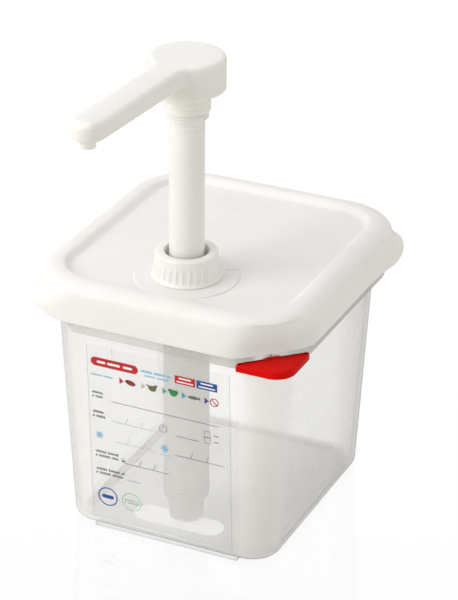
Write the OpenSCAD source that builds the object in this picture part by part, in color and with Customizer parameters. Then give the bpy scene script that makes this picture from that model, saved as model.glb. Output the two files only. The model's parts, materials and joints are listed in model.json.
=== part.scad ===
// Condiment pump dispenser: a food pan with a push-on lid and a hand pump through the lid.
// Millimetres, +Z up. The origin is on the table, at the centre of the pan's foot.
// The labelled face looks along -Y, and the spout reaches out over it.

/* [Pan] */
// Width of the pan's flange, along X
pan_w = 162; // [156:1:168]
// Depth of the pan's flange, along Y
pan_d = 176; // [170:1:182]
// Height of the flange's top above the table
pan_h = 150; // [142:1:156]
// How far the flange stands out from the wall, each side
pan_overhang = 8.1; // [7.5:0.1:9]
// How much wider the pan is at the flange than at the foot, each side
pan_taper = 7.4; // [5:0.1:9]
// Wall thickness of the pan
pan_wall = 2; // [1.8:0.1:2.4]
// Depth of the flange's turned-down edge
flange_drop = 15.5; // [13:0.5:17]

/* [Lid] */
// Height of the lid's skirt edge above the table
skirt_z = 141; // [139:0.5:143]
// Height of the lid's rim above the table
rim_z = 165; // [163:0.5:167]
// Depth of the flat panel below the rim
panel_drop = 3.6; // [3:0.2:5]
// Thickness of the flat panel
panel_t = 2.2; // [1.8:0.1:2.6]
// Leg of the cut corners, measured along each side of the pan
corner_cut = 31; // [28:1:33]

/* [Pump] */
// Distance of the pump's axis from the middle of the pan, towards the label
pump_offset = 44; // [40:1:48]
// Diameter of the stem
stem_d = 20; // [18:0.5:21]
// Outer diameter of the barrel
barrel_d = 26.5; // [26:0.1:27]
// Travel of the pump from rest to its stop
stroke = 80; // [60:1:80]
// Reach of the spout from the stem to the nozzle
spout_reach = 103; // [90:1:112]
// How far the spout is turned from square to the label, in degrees
spout_turn = -3.8; // [-20:0.2:20]
// Diameter of the press head
head_d = 43; // [40:0.5:46]

/* [Hidden] */

$fn = 96;
eps = 0.01;
// Fit of a shaft in its bore, and room between pieces that lift apart
run_fit = 0.06;
clear = 0.3;

// Colours
natural_pp = [0.90, 0.92, 0.92, 0.45];
white_pe = "white";
ivory_pe = "ivory";
seal_grey = "dimgray";
steel = "silver";
clip_red = "red";

// Pan: half sizes of the body at the flange and at the foot
top_x = pan_w / 2 - pan_overhang;
top_y = pan_d / 2 - pan_overhang;
foot_x = top_x - pan_taper;
foot_y = top_y - pan_taper;
top_r = 23;
foot_r = 18;
flange_r = 30;
flange_t = 2;
foot_h = 1.2;
floor_t = 2.2;
floor_z = foot_h + floor_t;
foot_round = 4.2;

// Foot strips: half lengths, width, height, and how far the side ones stand in
strip_x = 46;
strip_y = 54;
strip_w = 4.6;
strip_h = 2.6;
strip_in = 4;

// The walls lean from the top of the foot's rounding to the flange
lean_z = foot_h + foot_round;
lean_start = pan_taper * foot_round / pan_h;
wall_lean = atan((pan_taper - lean_start) / (pan_h - lean_z));

// Cut corners: the flange keeps |x| + |y| below this sum
cut_sum = pan_w / 2 + pan_d / 2 - corner_cut;

// Tongue on the pan that the colour clip slides on to
tongue_z = 134.6;
tongue_t = 1.6;
tongue_out = 9;
tongue_w = 12;
clip_z = 133;
clip_t = 4.8;

// Printed film on the front wall
label_w = 90;
label_h = 118;
label_t = 0.2;
label_x = -1.7;
label_z = 6.2;

// Lid
skirt_t = 1.7;
skirt_x = pan_w / 2 + 0.7 + skirt_t;
skirt_y = pan_d / 2 + 0.7 + skirt_t;
lid_r = 25;
panel_z = rim_z - panel_drop;
panel_under = panel_z - panel_t;
recess_x = 66.5;
recess_y = 73;
recess_r = 18;
boss_r = 30.2;
boss_h = 0.7;
plug_z = pan_h - 6;
lid_cut_sum = cut_sum + 3.4;

// Pump, along its own axis
px = 0;
py = -pump_offset;
stem_r = stem_d / 2;
stem_bore_r = stem_r - 2.2;
barrel_r = barrel_d / 2;
bore_r = barrel_r - 1.6;
neck_r = 16.4;
neck_bore_r = 13.9;
hole_r = neck_r + 0.5;
flange_top = panel_under - 1.5;
gasket_t = 1.5;
barrel_flange_r = 22;
barrel_flange_t = 2.2;
neck_top = panel_z + 12.6;
collar_top = panel_z + 16.5;
collar_r = 18;
collar_base_r = 20.3;
collar_bore_r = neck_r + 0.6;
collar_mouth_r = 12.7;
bush_rim_r = 16.3;
bush_top = collar_top - 2;
bush_throat_z = panel_z + 7.4;
bush_throat_r = 12.4;
barrel_end = 22.5;

// Press head, spigot and spout
head_r = head_d / 2;
head_bottom = 275.5;
head_top = 295;
spigot_end = 258;
spigot_step = spigot_end + 5.6;
spigot_r = 13.5;
spigot_thread_r = 12.1;
arm_r = 9.3;
arm_bottom = 284.2;
nozzle_r = 4.4;
nozzle_bore_r = 2.9;
nozzle_end = 278.6;
channel_r = 4;
channel_z = 288.8;

// Piston end of the stem
stem_end = 148;
stem_top = head_bottom + 4;
piston_top = 153;
piston_end = 136;

// Foot valve and spring
foot_r_out = 10.15;
foot_end = floor_z + 1.8;
seat_z = 13;
spring_low = 35.2;
spring_r = 9.4;
wire_r = 0.75;
spring_turns = 13;
ball_r = 4.5;

// ---- shapes that repeat ----

// Rectangle with round corners, given half sizes
module round_rect(hx, hy, r) {
    square([2 * hx, 2 * (hy - r)], center = true);
    square([2 * (hx - r), 2 * hy], center = true);
    for (sx = [-1, 1], sy = [-1, 1])
        translate([sx * (hx - r), sy * (hy - r)]) circle(r, $fn = 48);
}

// Thin slab of that rectangle at a height
module slab(hx, hy, r, z, t = eps) {
    translate([0, 0, z]) linear_extrude(t) round_rect(hx, hy, r);
}

// Outline that removes all four corners
module cut_square(sum) {
    rotate(45) square(sum * sqrt(2), center = true);
}

// Outline that removes the corners at +X -Y and -X +Y
module cut_outline(sum) {
    big = 120;
    polygon([
        [-big, -big], [sum - big, -big], [big, big - sum], [big, big],
        [big - sum, big], [-big, sum - big]
    ]);
}

// Places a piece on the pump's axis
module on_pump() {
    translate([px, py, 0]) children();
}

// Tube between two heights
module tube(r_out, r_in, z0, z1) {
    translate([0, 0, z0]) difference() {
        cylinder(r = r_out, h = z1 - z0);
        translate([0, 0, -1]) cylinder(r = r_in, h = z1 - z0 + 2);
    }
}

// Ring of round section
module o_ring(r_mid, r_wire, z) {
    translate([0, 0, z]) rotate_extrude() translate([r_mid, 0]) circle(r_wire, $fn = 32);
}

// Raised thread ridges round a shaft
module ridges(r_root, r_crest, z0, pitch, count) {
    h = r_crest - r_root;
    for (i = [0 : count - 1])
        translate([0, 0, z0 + i * pitch]) rotate_extrude()
            polygon([
                [r_root - 0.5, -h - 0.3], [r_root, -h - 0.3], [r_crest, -0.3],
                [r_crest, 0.3], [r_root, h + 0.3], [r_root - 0.5, h + 0.3]
            ]);
}

// ---- the pan and what is on it ----

// How far a wall stands out from the foot's half size at a height
function lean_at(z) = lean_start + (z - lean_z) * tan(wall_lean);

module pan_outside() {
    hull() {
        slab(foot_x - 3.2, foot_y - 3.2, foot_r - 3, foot_h);
        slab(foot_x - 0.9, foot_y - 0.9, foot_r - 0.6, foot_h + 1.2);
        slab(foot_x + lean_start, foot_y + lean_start, foot_r, lean_z);
        slab(top_x, top_y, top_r, pan_h - eps);
    }
}

module pan_inside() {
    w = pan_wall;
    hull() {
        slab(foot_x - w - 2.4, foot_y - w - 2.4, foot_r - w - 2, floor_z);
        slab(foot_x - w + 0.1, foot_y - w + 0.1, foot_r - w, floor_z + 3);
        slab(top_x - w, top_y - w, top_r - w, pan_h + eps);
    }
}

// Turned-down flange, open underneath, with all four corners cut
module flange() {
    edge_z = pan_h - flange_drop;
    intersection() {
        difference() {
            slab(pan_w / 2, pan_d / 2, flange_r, edge_z, flange_drop);
            slab(pan_w / 2 - flange_t, pan_d / 2 - flange_t, flange_r - flange_t,
                edge_z - 1, flange_drop + 1 - flange_t);
        }
        translate([0, 0, edge_z - 1]) linear_extrude(flange_drop + 2) cut_square(cut_sum);
    }
    // edge that closes the flange across each cut corner
    intersection() {
        slab(pan_w / 2, pan_d / 2, flange_r, edge_z, flange_drop);
        translate([0, 0, edge_z]) linear_extrude(flange_drop) difference() {
            cut_square(cut_sum);
            cut_square(cut_sum - 1.6 * flange_t);
        }
    }
}

// Tongue at one cut corner, for a colour clip
module tongue() {
    reach = cut_sum / sqrt(2);
    translate([0, 0, tongue_z]) rotate(-45)
        translate([reach - 4, -tongue_w / 2, 0]) cube([tongue_out + 4, tongue_w, tongue_t]);
}

module container() {
    color(natural_pp) {
        difference() {
            union() {
                pan_outside();
                flange();
                tongue();
            }
            pan_inside();
        }
        // feet along the bottom edges: flush with the walls at the front and back
        for (s = [-1, 1]) {
            translate([0, s * (foot_y - strip_w / 2), strip_h / 2])
                cube([2 * strip_x, strip_w, strip_h], center = true);
            translate([s * (foot_x - strip_w / 2 - strip_in), 0, strip_h / 2])
                cube([strip_w, 2 * strip_y, strip_h], center = true);
        }
    }
}

// Printed film, laid on the leaning front wall
module label_film() {
    color("white", 0.6) translate([label_x, -foot_y - lean_at(label_z) - eps, label_z])
        rotate([wall_lean, 0, 0])
            translate([-label_w / 2, -label_t, 0]) cube([label_w, label_t, label_h]);
}

// Corner clip that tells one sauce from another
module colour_clip() {
    leg = corner_cut + 1.4;
    gap = clear * sqrt(2);
    cx = pan_w / 2 + 1;
    cy = pan_d / 2 + 0.4;
    round_r = 12;
    color(clip_red) difference() {
        translate([0, 0, clip_z]) linear_extrude(clip_t) difference() {
            intersection() {
                round_rect(cx, cy, round_r);
                translate([cx - leg, -cy]) square([leg, leg]);
            }
            cut_outline(cut_sum + gap);
        }
        // slot for the pan's tongue
        translate([0, 0, tongue_z - clear]) rotate(-45)
            translate([cut_sum / sqrt(2) - 6, -tongue_w / 2 - clear, 0])
                cube([tongue_out + 6 + clear, tongue_w + 2 * clear, tongue_t + 2 * clear]);
    }
}

// ---- the lid ----

// Solid outer form of the lid, shrunk by a wall thickness t. Only its lower edge has cut
// corners, and the skirt above them turns smoothly into the round corners of the rim.
module lid_form(t) {
    low = t > 0 ? skirt_z - 2 : skirt_z;
    hull() {
        translate([0, 0, low]) linear_extrude(eps) intersection() {
            round_rect(skirt_x - t, skirt_y - t, lid_r - t);
            cut_outline(lid_cut_sum - 1.5 * t);
        }
        slab(skirt_x - 0.6 - t, skirt_y - 0.6 - t, lid_r + 5 - t, rim_z - 9);
        slab(skirt_x - 2.4 - t, skirt_y - 2.4 - t, lid_r + 3 - t, rim_z - 4.6 - t / 2);
        slab(skirt_x - 5.6 - t, skirt_y - 5.6 - t, lid_r + 1 - t, rim_z - 1.6 - t * 0.9);
        slab(skirt_x - 9.6 - t / 2, skirt_y - 9.6 - t / 2, lid_r - 3 - t, rim_z - t - eps);
    }
}

// Lift tab that flares out of a rounded corner
module lift_tab() {
    reach_x = skirt_x - 0.3;
    reach_y = skirt_y - 0.5;
    hull() {
        translate([reach_x - 9, reach_y - 9, skirt_z + 2.6]) cylinder(r = 9, h = 1.4, $fn = 32);
        translate([reach_x - 2, reach_y - 34, skirt_z]) cylinder(r = 1.6, h = 1.6, $fn = 16);
        translate([reach_x - 34, reach_y - 2, skirt_z]) cylinder(r = 1.6, h = 1.6, $fn = 16);
        translate([reach_x - 20, reach_y - 20, skirt_z + 11]) cylinder(r = 16, h = 0.5, $fn = 32);
    }
}

module lid() {
    color(white_pe) difference() {
        union() {
            lid_shell();
            // raised ring that the collar nut bears on
            on_pump() translate([0, 0, panel_z - 1]) cylinder(r = boss_r, h = boss_h + 1);
        }
        on_pump() translate([0, 0, panel_under - 1]) cylinder(r = hole_r, h = panel_t + 3);
    }
}

module lid_shell() {
    difference() {
        union() {
            lid_form(0);
            difference() {
                for (turn = [0, 180]) rotate(turn) lift_tab();
                slab(skirt_x - 1, skirt_y - 1, lid_r, skirt_z - 1, 12);
            }
        }
        // hollow under the rim and the panel
        difference() {
            lid_form(skirt_t);
            lid_core();
        }
        // recessed panel
        hull() {
            slab(recess_x, recess_y, recess_r, panel_z);
            slab(recess_x + 5, recess_y + 5, recess_r + 4, rim_z + 0.6);
        }
    }
}

// What stays inside the hollow: the panel, the wall that plugs the pan, and the rib it rests on
module lid_core() {
    plug_x = top_x - pan_wall - 0.5;
    plug_y = top_y - pan_wall - 0.5;
    slab(plug_x, plug_y, top_r - pan_wall - 0.5, panel_under, panel_t + 3);
    difference() {
        slab(plug_x, plug_y, top_r - pan_wall - 0.5, plug_z, rim_z - plug_z);
        slab(plug_x - 1.7, plug_y - 1.7, top_r - pan_wall - 2.2, plug_z - 1, rim_z - plug_z + 2);
    }
    difference() {
        slab(top_x + 3, top_y + 3, top_r + 2, pan_h, rim_z - pan_h);
        slab(top_x + 1.4, top_y + 1.4, top_r + 0.4, pan_h - 1, rim_z - pan_h + 2);
    }
}

// ---- the pump's fixed parts ----

module collar_nut() {
    flutes = 30;
    color(white_pe) on_pump() {
        rotate_extrude() polygon([
            [collar_bore_r, panel_z + boss_h], [collar_base_r, panel_z + boss_h],
            [collar_base_r, panel_z + 2.4], [collar_r + 1.4, panel_z + 3.4],
            [collar_r + 0.1, collar_top - 1.8], [collar_r - 0.5, collar_top - 0.6],
            [collar_r - 1.6, collar_top], [collar_mouth_r + 0.6, collar_top],
            [collar_mouth_r, collar_top - 0.6], [collar_mouth_r, collar_top - 1.9],
            [collar_bore_r, collar_top - 1.9]
        ]);
        for (i = [0 : flutes - 1]) rotate(i * 360 / flutes)
            translate([collar_r + 1.1, 0, panel_z + 3]) rotate([0, -5.2, 0])
                translate([-1, -0.55, 0]) cube([1.6, 1.1, collar_top - panel_z - 5]);
    }
}

module neck_gasket() {
    color(seal_grey) on_pump() tube(barrel_flange_r - 1, hole_r + 0.2, flange_top, flange_top + gasket_t);
}

module pump_barrel() {
    color(natural_pp) on_pump() difference() {
        union() {
            translate([0, 0, barrel_end]) cylinder(r = barrel_r, h = flange_top - barrel_end);
            // bead round the lower end
            translate([0, 0, barrel_end]) cylinder(r = barrel_r + 0.5, h = 5);
            translate([0, 0, flange_top - barrel_flange_t])
                cylinder(r = barrel_flange_r, h = barrel_flange_t);
            translate([0, 0, flange_top - 1]) cylinder(r = neck_r - 0.9, h = neck_top - flange_top + 1);
            ridges(neck_r - 0.9, neck_r, panel_z + 4, 3.2, 3);
        }
        translate([0, 0, barrel_end - 1]) cylinder(r = bore_r, h = 200);
        translate([0, 0, panel_z - 1]) cylinder(r = neck_bore_r, h = 30);
        // air vent above the piston
        translate([0, 0, flange_top - 3.5]) rotate([0, 90, 0]) cylinder(r = 0.9, h = 30, $fn = 24);
    }
}

module guide_bush() {
    guide_end = panel_z - 1;
    color(ivory_pe) on_pump() difference() {
        union() {
            translate([0, 0, guide_end]) cylinder(r = neck_bore_r, h = neck_top - guide_end + 0.5);
            translate([0, 0, neck_top]) cylinder(r = bush_rim_r, h = bush_top - neck_top);
        }
        translate([0, 0, guide_end - 1]) cylinder(r = stem_r + run_fit, h = 40);
        translate([0, 0, bush_throat_z]) cylinder(r = bush_throat_r, h = 30);
        // groove for the wiper
        translate([0, 0, panel_z + 2.2]) cylinder(r = stem_r + 1.9, h = 2.4);
    }
}

module stem_wiper() {
    color(seal_grey) on_pump() o_ring(stem_r + run_fit + 0.86, 0.86, panel_z + 3.4);
}

module ball_retainer() {
    cup_r = 6.4;
    color(ivory_pe) on_pump() difference() {
        union() {
            translate([0, 0, barrel_end + 10]) cylinder(r = bore_r - 0.15, h = spring_low - barrel_end - 10);
            translate([0, 0, barrel_end + 10]) cylinder(r = cup_r, h = 8);
        }
        translate([0, 0, spring_low]) cylinder(r = 4.9, h = 6);
        translate([0, 0, barrel_end + 9]) cylinder(r = 2.4, h = 12);
        for (a = [0, 90]) rotate(a)
            translate([-cup_r - 1, -1.4, spring_low + 0.2]) cube([2 * cup_r + 2, 2.8, 2.6]);
    }
}

module suction_ball() {
    color(steel) on_pump() translate([0, 0, seat_z + 11.3]) sphere(ball_r);
}

module foot_valve() {
    color(white_pe) on_pump() difference() {
        union() {
            translate([0, 0, foot_end]) cylinder(r = foot_r_out, h = barrel_end - foot_end);
            translate([0, 0, barrel_end - 3]) cylinder(r = barrel_r, h = 3);
            translate([0, 0, barrel_end]) cylinder(r = bore_r - 0.05, h = 10);
        }
        // inlet, seat and ball chamber
        translate([0, 0, foot_end - 1]) cylinder(r = 8.2, h = seat_z - foot_end + 1);
        translate([0, 0, seat_z - 1]) cylinder(r = 3.2, h = 20);
        translate([0, 0, seat_z + 8]) cylinder(r1 = 3.2, r2 = 5, h = 1.8);
        translate([0, 0, seat_z + 9.8]) cylinder(r = 5, h = 20);
        // groove for the seal
        translate([0, 0, barrel_end + 3.6]) difference() {
            cylinder(r = bore_r + 1, h = 2.4);
            translate([0, 0, -1]) cylinder(r = bore_r - 1.7, h = 5);
        }
        // slots that let sauce in when the foot stands on the floor
        for (a = [0, 90]) rotate(a)
            translate([-foot_r_out - 1, -2, foot_end - 1]) cube([2 * foot_r_out + 2, 4, 2.2]);
    }
}

module foot_seal() {
    color(seal_grey) on_pump() o_ring(bore_r - 0.82, 0.8, barrel_end + 4.8);
}

// Helix of round wire with ground ends, swept from its own rule
module return_spring() {
    steps = 18;
    sides = 6;
    length = piston_end - spring_low - 2 * wire_r - 0.1;
    n = spring_turns * steps;
    // flat first and last turn, even pitch between them
    function rise(i) =
        let (u = i / steps, flat = 1.2, p = 2 * wire_r + 0.15)
        u < flat ? p * u / flat * 0.5 :
        u > spring_turns - flat ? length - p * (spring_turns - u) / flat * 0.5 :
        p * 0.5 + (length - p) * (u - flat) / (spring_turns - 2 * flat);
    function ring_point(i, k) =
        let (a = i * 360 / steps, b = k * 360 / sides, r = spring_r + wire_r * cos(b))
        [r * cos(a), r * sin(a), rise(i) + wire_r * sin(b)];
    points = [for (i = [0 : n]) for (k = [0 : sides - 1]) ring_point(i, k)];
    walls = [for (i = [0 : n - 1]) for (k = [0 : sides - 1])
        let (a = i * sides + k, b = i * sides + (k + 1) % sides)
        each [[a, b, b + sides], [a, b + sides, a + sides]]];
    caps = [[for (k = [sides - 1 : -1 : 0]) k], [for (k = [0 : sides - 1]) n * sides + k]];
    color(steel) on_pump() translate([0, 0, spring_low + wire_r + 0.05])
        polyhedron(points, concat(walls, caps), convexity = 10);
}

// ---- the plunger ----

module piston() {
    color(ivory_pe) on_pump() difference() {
        translate([0, 0, piston_end]) cylinder(r = bore_r - 0.3, h = piston_top - piston_end);
        // socket for the stem
        translate([0, 0, stem_end]) cylinder(r = stem_r + run_fit, h = 20);
        // cage seat, ball chamber, valve seat and inlet
        translate([0, 0, piston_end + 6.4]) cylinder(r = 6.4, h = 20);
        translate([0, 0, piston_end + 4.6]) cylinder(r1 = 3, r2 = 5, h = 1.81);
        translate([0, 0, piston_end - 1]) cylinder(r = 3, h = 10);
        for (z = [piston_end + 2.2, piston_end + 8.4])
            translate([0, 0, z]) difference() {
                cylinder(r = bore_r + 1, h = 2.2);
                translate([0, 0, -1]) cylinder(r = bore_r - 1.9, h = 5);
            }
    }
}

module piston_ring(z) {
    color(seal_grey) on_pump() translate([0, 0, z])
        tube(bore_r - run_fit, bore_r - 1.85, 0.1, 2.1);
}

module piston_ring_upper() {
    piston_ring(piston_end + 8.4);
}

module piston_ring_lower() {
    piston_ring(piston_end + 2.2);
}

module discharge_cage() {
    color(white_pe) on_pump() difference() {
        translate([0, 0, stem_end]) cylinder(r = stem_bore_r - 0.1, h = 9);
        translate([0, 0, stem_end - 1]) cylinder(r = 5, h = 5.2);
        translate([0, 0, stem_end - 1]) cylinder(r = 2.2, h = 12);
        for (a = [0, 90]) rotate(a)
            translate([-stem_r, -1.3, stem_end + 6.2]) cube([stem_d, 2.6, 4]);
    }
}

module discharge_ball() {
    color(steel) on_pump() translate([0, 0, piston_end + 8.1]) sphere(ball_r);
}

module stem() {
    color(white_pe) on_pump() difference() {
        translate([0, 0, stem_end]) cylinder(r = stem_r, h = stem_top - stem_end);
        translate([0, 0, stem_end - 1]) cylinder(r = stem_bore_r, h = stem_top - stem_end + 2);
        // two fine grooves under the spigot
        for (z = [spigot_end - 2.6, spigot_end - 5.6])
            translate([0, 0, z]) difference() {
                cylinder(r = stem_r + 1, h = 0.8);
                translate([0, 0, -1]) cylinder(r = stem_r - 0.5, h = 3);
            }
    }
}

// Places a piece along the spout, at a distance from the stem
module on_spout(reach) {
    on_pump() rotate(spout_turn) translate([0, -reach, 0]) children();
}

// Rounded end of the arm
module arm_end() {
    translate([0, 0, arm_bottom]) cylinder(r = arm_r - 1.2, h = eps, $fn = 40);
    translate([0, 0, arm_bottom + 1.2]) cylinder(r = arm_r, h = 5.6, $fn = 40);
    translate([0, 0, arm_bottom + 8.6]) cylinder(r = arm_r - 1.5, h = eps, $fn = 40);
    translate([0, 0, head_top - 1.2]) cylinder(r = arm_r - 4.2, h = eps, $fn = 40);
    translate([0, 0, head_top - 0.5]) cylinder(r = arm_r - 6.2, h = eps, $fn = 40);
}

module press_head() {
    edge = 2.6;
    color(white_pe) difference() {
        union() {
            on_pump() rotate_extrude() union() {
                polygon([[0, head_bottom], [head_r - 0.8, head_bottom], [head_r, head_bottom + 0.8],
                    [head_r, head_top - edge], [0, head_top - edge]]);
                intersection() {
                    translate([head_r - edge, head_top - edge]) circle(edge, $fn = 48);
                    translate([0, head_top - edge]) square([head_r, edge]);
                }
                translate([0, head_top - edge]) square([head_r - edge, edge]);
            }
            hull() {
                on_spout(head_r - 6) arm_end();
                on_spout(spout_reach) arm_end();
            }
            on_pump() {
                translate([0, 0, spigot_step]) cylinder(r = spigot_r, h = head_bottom - spigot_step + 1);
                translate([0, 0, spigot_end]) cylinder(r = spigot_thread_r - 0.9, h = 8);
                ridges(spigot_thread_r - 0.9, spigot_thread_r, spigot_end + 1.3, 2.9, 2);
            }
        }
        on_pump() translate([0, 0, spigot_end - 1]) cylinder(r = stem_r, h = stem_top - spigot_end + 1);
        on_pump() translate([0, 0, stem_top - 1]) cylinder(r = stem_bore_r, h = channel_z - stem_top + 3);
        // channel to the nozzle
        on_pump() rotate(spout_turn) translate([0, 0, channel_z]) rotate([90, 0, 0])
            cylinder(r = channel_r, h = spout_reach);
        on_spout(spout_reach) translate([0, 0, channel_z]) sphere(channel_r);
        on_spout(spout_reach) translate([0, 0, arm_bottom - 1]) cylinder(r = nozzle_r, h = 4.6);
        on_spout(spout_reach) translate([0, 0, arm_bottom - 1]) cylinder(r = nozzle_bore_r, h = 8);
    }
}

module nozzle_tip() {
    color(white_pe) on_spout(spout_reach) difference() {
        translate([0, 0, nozzle_end]) cylinder(r = nozzle_r, h = arm_bottom + 3.6 - nozzle_end);
        translate([0, 0, nozzle_end - 1]) cylinder(r = nozzle_bore_r, h = 20);
    }
}

container();
label_film();
colour_clip();
lid();
collar_nut();
neck_gasket();
pump_barrel();
guide_bush();
stem_wiper();
stem();
press_head();
nozzle_tip();
piston();
piston_ring_upper();
piston_ring_lower();
discharge_cage();
discharge_ball();
return_spring();
ball_retainer();
suction_ball();
foot_valve();
foot_seal();
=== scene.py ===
"""Condiment pump dispenser: a translucent food pan, its push-on lid and the hand pump through it.

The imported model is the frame, and every piece made here stands where the frame says. Shapes
are worked out in millimetres and become metres as each piece is finished.
"""

import json
import math

import bmesh
import bpy
from mathutils import Matrix, Vector


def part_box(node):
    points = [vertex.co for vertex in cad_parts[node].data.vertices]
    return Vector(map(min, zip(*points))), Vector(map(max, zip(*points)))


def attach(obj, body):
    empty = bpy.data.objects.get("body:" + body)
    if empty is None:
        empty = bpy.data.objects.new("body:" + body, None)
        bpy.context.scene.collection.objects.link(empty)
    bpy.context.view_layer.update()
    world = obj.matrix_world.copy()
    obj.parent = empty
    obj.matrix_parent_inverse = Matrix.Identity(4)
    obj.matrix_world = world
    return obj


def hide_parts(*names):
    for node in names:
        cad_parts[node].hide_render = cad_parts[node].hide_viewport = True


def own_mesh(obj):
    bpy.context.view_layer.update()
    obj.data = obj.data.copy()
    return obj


bl_info = {
    "name": "Condiment pump dispenser",
    "version": (1, 0, 0),
    "blender": (4, 5, 0),
    "location": "View3D > Sidebar > Dispenser",
    "description": "Makes a food pan with a lid and a hand pump round its packed frame",
    "category": "Add Mesh",
}

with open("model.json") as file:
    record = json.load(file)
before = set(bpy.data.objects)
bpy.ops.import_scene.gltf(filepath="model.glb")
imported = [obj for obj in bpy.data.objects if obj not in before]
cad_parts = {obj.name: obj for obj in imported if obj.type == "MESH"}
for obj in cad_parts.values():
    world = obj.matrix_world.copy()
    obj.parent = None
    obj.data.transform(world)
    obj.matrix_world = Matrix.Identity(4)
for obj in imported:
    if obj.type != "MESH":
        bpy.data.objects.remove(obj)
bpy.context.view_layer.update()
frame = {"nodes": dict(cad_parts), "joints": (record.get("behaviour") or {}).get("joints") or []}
MM = 0.001


# ---- reading the frame ----


def box_mm(node):
    """Lowest and highest corner of a CAD node, in millimetres."""
    low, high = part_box(node)
    return low / MM, high / MM


def joint(name):
    """The frame's joint of that name."""
    return next(j for j in frame["joints"] if j["name"] == name)


PAN_LOW, PAN_HIGH = box_mm("container")
LID_LOW, LID_HIGH = box_mm("lid")
HEAD_LOW, HEAD_HIGH = box_mm("press_head")
STEM_LOW, STEM_HIGH = box_mm("stem")
BARREL_LOW, BARREL_HIGH = box_mm("pump_barrel")
COLLAR_LOW, COLLAR_HIGH = box_mm("collar_nut")
CLIP_LOW, CLIP_HIGH = box_mm("colour_clip")
NOZZLE_LOW, NOZZLE_HIGH = box_mm("nozzle_tip")
SPRING_LOW, SPRING_HIGH = box_mm("return_spring")
FILM_LOW, FILM_HIGH = box_mm("label_film")
PUMP_AXIS = (STEM_LOW + STEM_HIGH) / 2
NOZZLE_AXIS = (NOZZLE_LOW + NOZZLE_HIGH) / 2


# ---- colours, nodes and materials ----


def linear(hex_code):
    """A colour in linear light from its sRGB hex value."""
    parts = [int(hex_code[i : i + 2], 16) / 255 for i in (0, 2, 4)]
    return tuple(c / 12.92 if c <= 0.04045 else ((c + 0.055) / 1.055) ** 2.4 for c in parts)


def add_node(tree, kind, sockets=None, **settings):
    """Adds one node with its settings, and sets or links its input sockets."""
    made = tree.nodes.new(kind)
    for name, value in settings.items():
        setattr(made, name, value)
    for name, value in (sockets or {}).items():
        if isinstance(value, bpy.types.NodeSocket):
            tree.links.new(value, made.inputs[name])
        else:
            made.inputs[name].default_value = value
    return made


def new_material(name):
    """An empty material: its tree, and the socket that the finished shader goes to."""
    material = bpy.data.materials.new(name)
    material.use_nodes = True
    tree = material.node_tree
    tree.nodes.clear()
    output = add_node(tree, "ShaderNodeOutputMaterial")
    return material, tree, output.inputs["Surface"]


def mottle(tree, place, size_mm, light, dark, detail=3.0):
    """A colour that drifts between two shades, in patches of about that size."""
    noise = add_node(
        tree, "ShaderNodeTexNoise", {"Vector": place, "Scale": 1 / (size_mm * MM), "Detail": detail}
    )
    mix = add_node(
        tree,
        "ShaderNodeMix",
        {"Factor": noise.outputs["Fac"], "A": (*light, 1), "B": (*dark, 1)},
        data_type="RGBA",
    )
    return mix.outputs["Result"]


def uneven(tree, place, size_mm, low, high):
    """A number that drifts between two values, in patches of about that size."""
    noise = add_node(
        tree, "ShaderNodeTexNoise", {"Vector": place, "Scale": 1 / (size_mm * MM), "Detail": 4.0}
    )
    ranged = add_node(
        tree,
        "ShaderNodeMapRange",
        {"Value": noise.outputs["Fac"], "From Min": 0.3, "From Max": 0.7, "To Min": low, "To Max": high},
    )
    return ranged.outputs["Result"]


def grain(tree, place, size_mm, depth_mm, strength=1.0):
    """A normal with the fine sparked texture of a mould."""
    noise = add_node(
        tree, "ShaderNodeTexNoise", {"Vector": place, "Scale": 1 / (size_mm * MM), "Detail": 2.0}
    )
    bump = add_node(
        tree,
        "ShaderNodeBump",
        {"Height": noise.outputs["Fac"], "Distance": depth_mm * MM, "Strength": strength},
    )
    return bump.outputs["Normal"]


def plastic(name, light, dark, rough, grain_mm, depth_mm, soft=0.0, ior=1.5, gloss=0.5):
    """Moulded plastic: two close shades, an uneven gloss and a fine grain."""
    material, tree, surface = new_material(name)
    place = add_node(tree, "ShaderNodeTexCoord").outputs["Object"]
    shader = add_node(
        tree,
        "ShaderNodeBsdfPrincipled",
        {
            "Base Color": mottle(tree, place, 24, light, dark),
            "Roughness": uneven(tree, place, 9, rough - 0.05, rough + 0.05),
            "Normal": grain(tree, place, grain_mm, depth_mm),
            "IOR": ior,
            "Specular IOR Level": gloss,
            "Subsurface Weight": soft,
            "Subsurface Radius": (1.0, 0.9, 0.8),
            "Subsurface Scale": 2.5 * MM,
        },
    )
    tree.links.new(shader.outputs["BSDF"], surface)
    return material


def lid_polyethylene(look):
    """Moulded polyethylene: a waxy, slightly warm white with a soft, wide shine."""
    return plastic("moulded polyethylene", look.lid_colour, linear("ece8e5"), 0.46, 0.7, 0.012, 0.12)


def pump_polypropylene(look):
    """Moulded polypropylene: whiter and tighter than the lid, with a clearer shine."""
    return plastic("moulded white polypropylene", look.pump_colour, linear("eceae5"), 0.33, 0.5, 0.006, 0.1)


def clip_polypropylene(look):
    """Red moulded polypropylene: a deep masterbatch colour with a satin shine."""
    return plastic("moulded red polypropylene", look.clip_colour, linear("bf0804"), 0.4, 0.5, 0.012, gloss=0.06)


def ivory_acetal(look):
    """Machined acetal for the piston and the ball retainer: ivory, dense and satin."""
    return plastic("ivory acetal", look.guide_colour, linear("e3ddcb"), 0.36, 0.4, 0.005, 0.05, 1.48)


def seal_silicone(look):
    """Moulded silicone seals: translucent grey rubber with a dull face."""
    return plastic("grey silicone", look.seal_colour, linear("a9a9a4"), 0.6, 0.4, 0.02, 0.15, 1.41)


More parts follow.
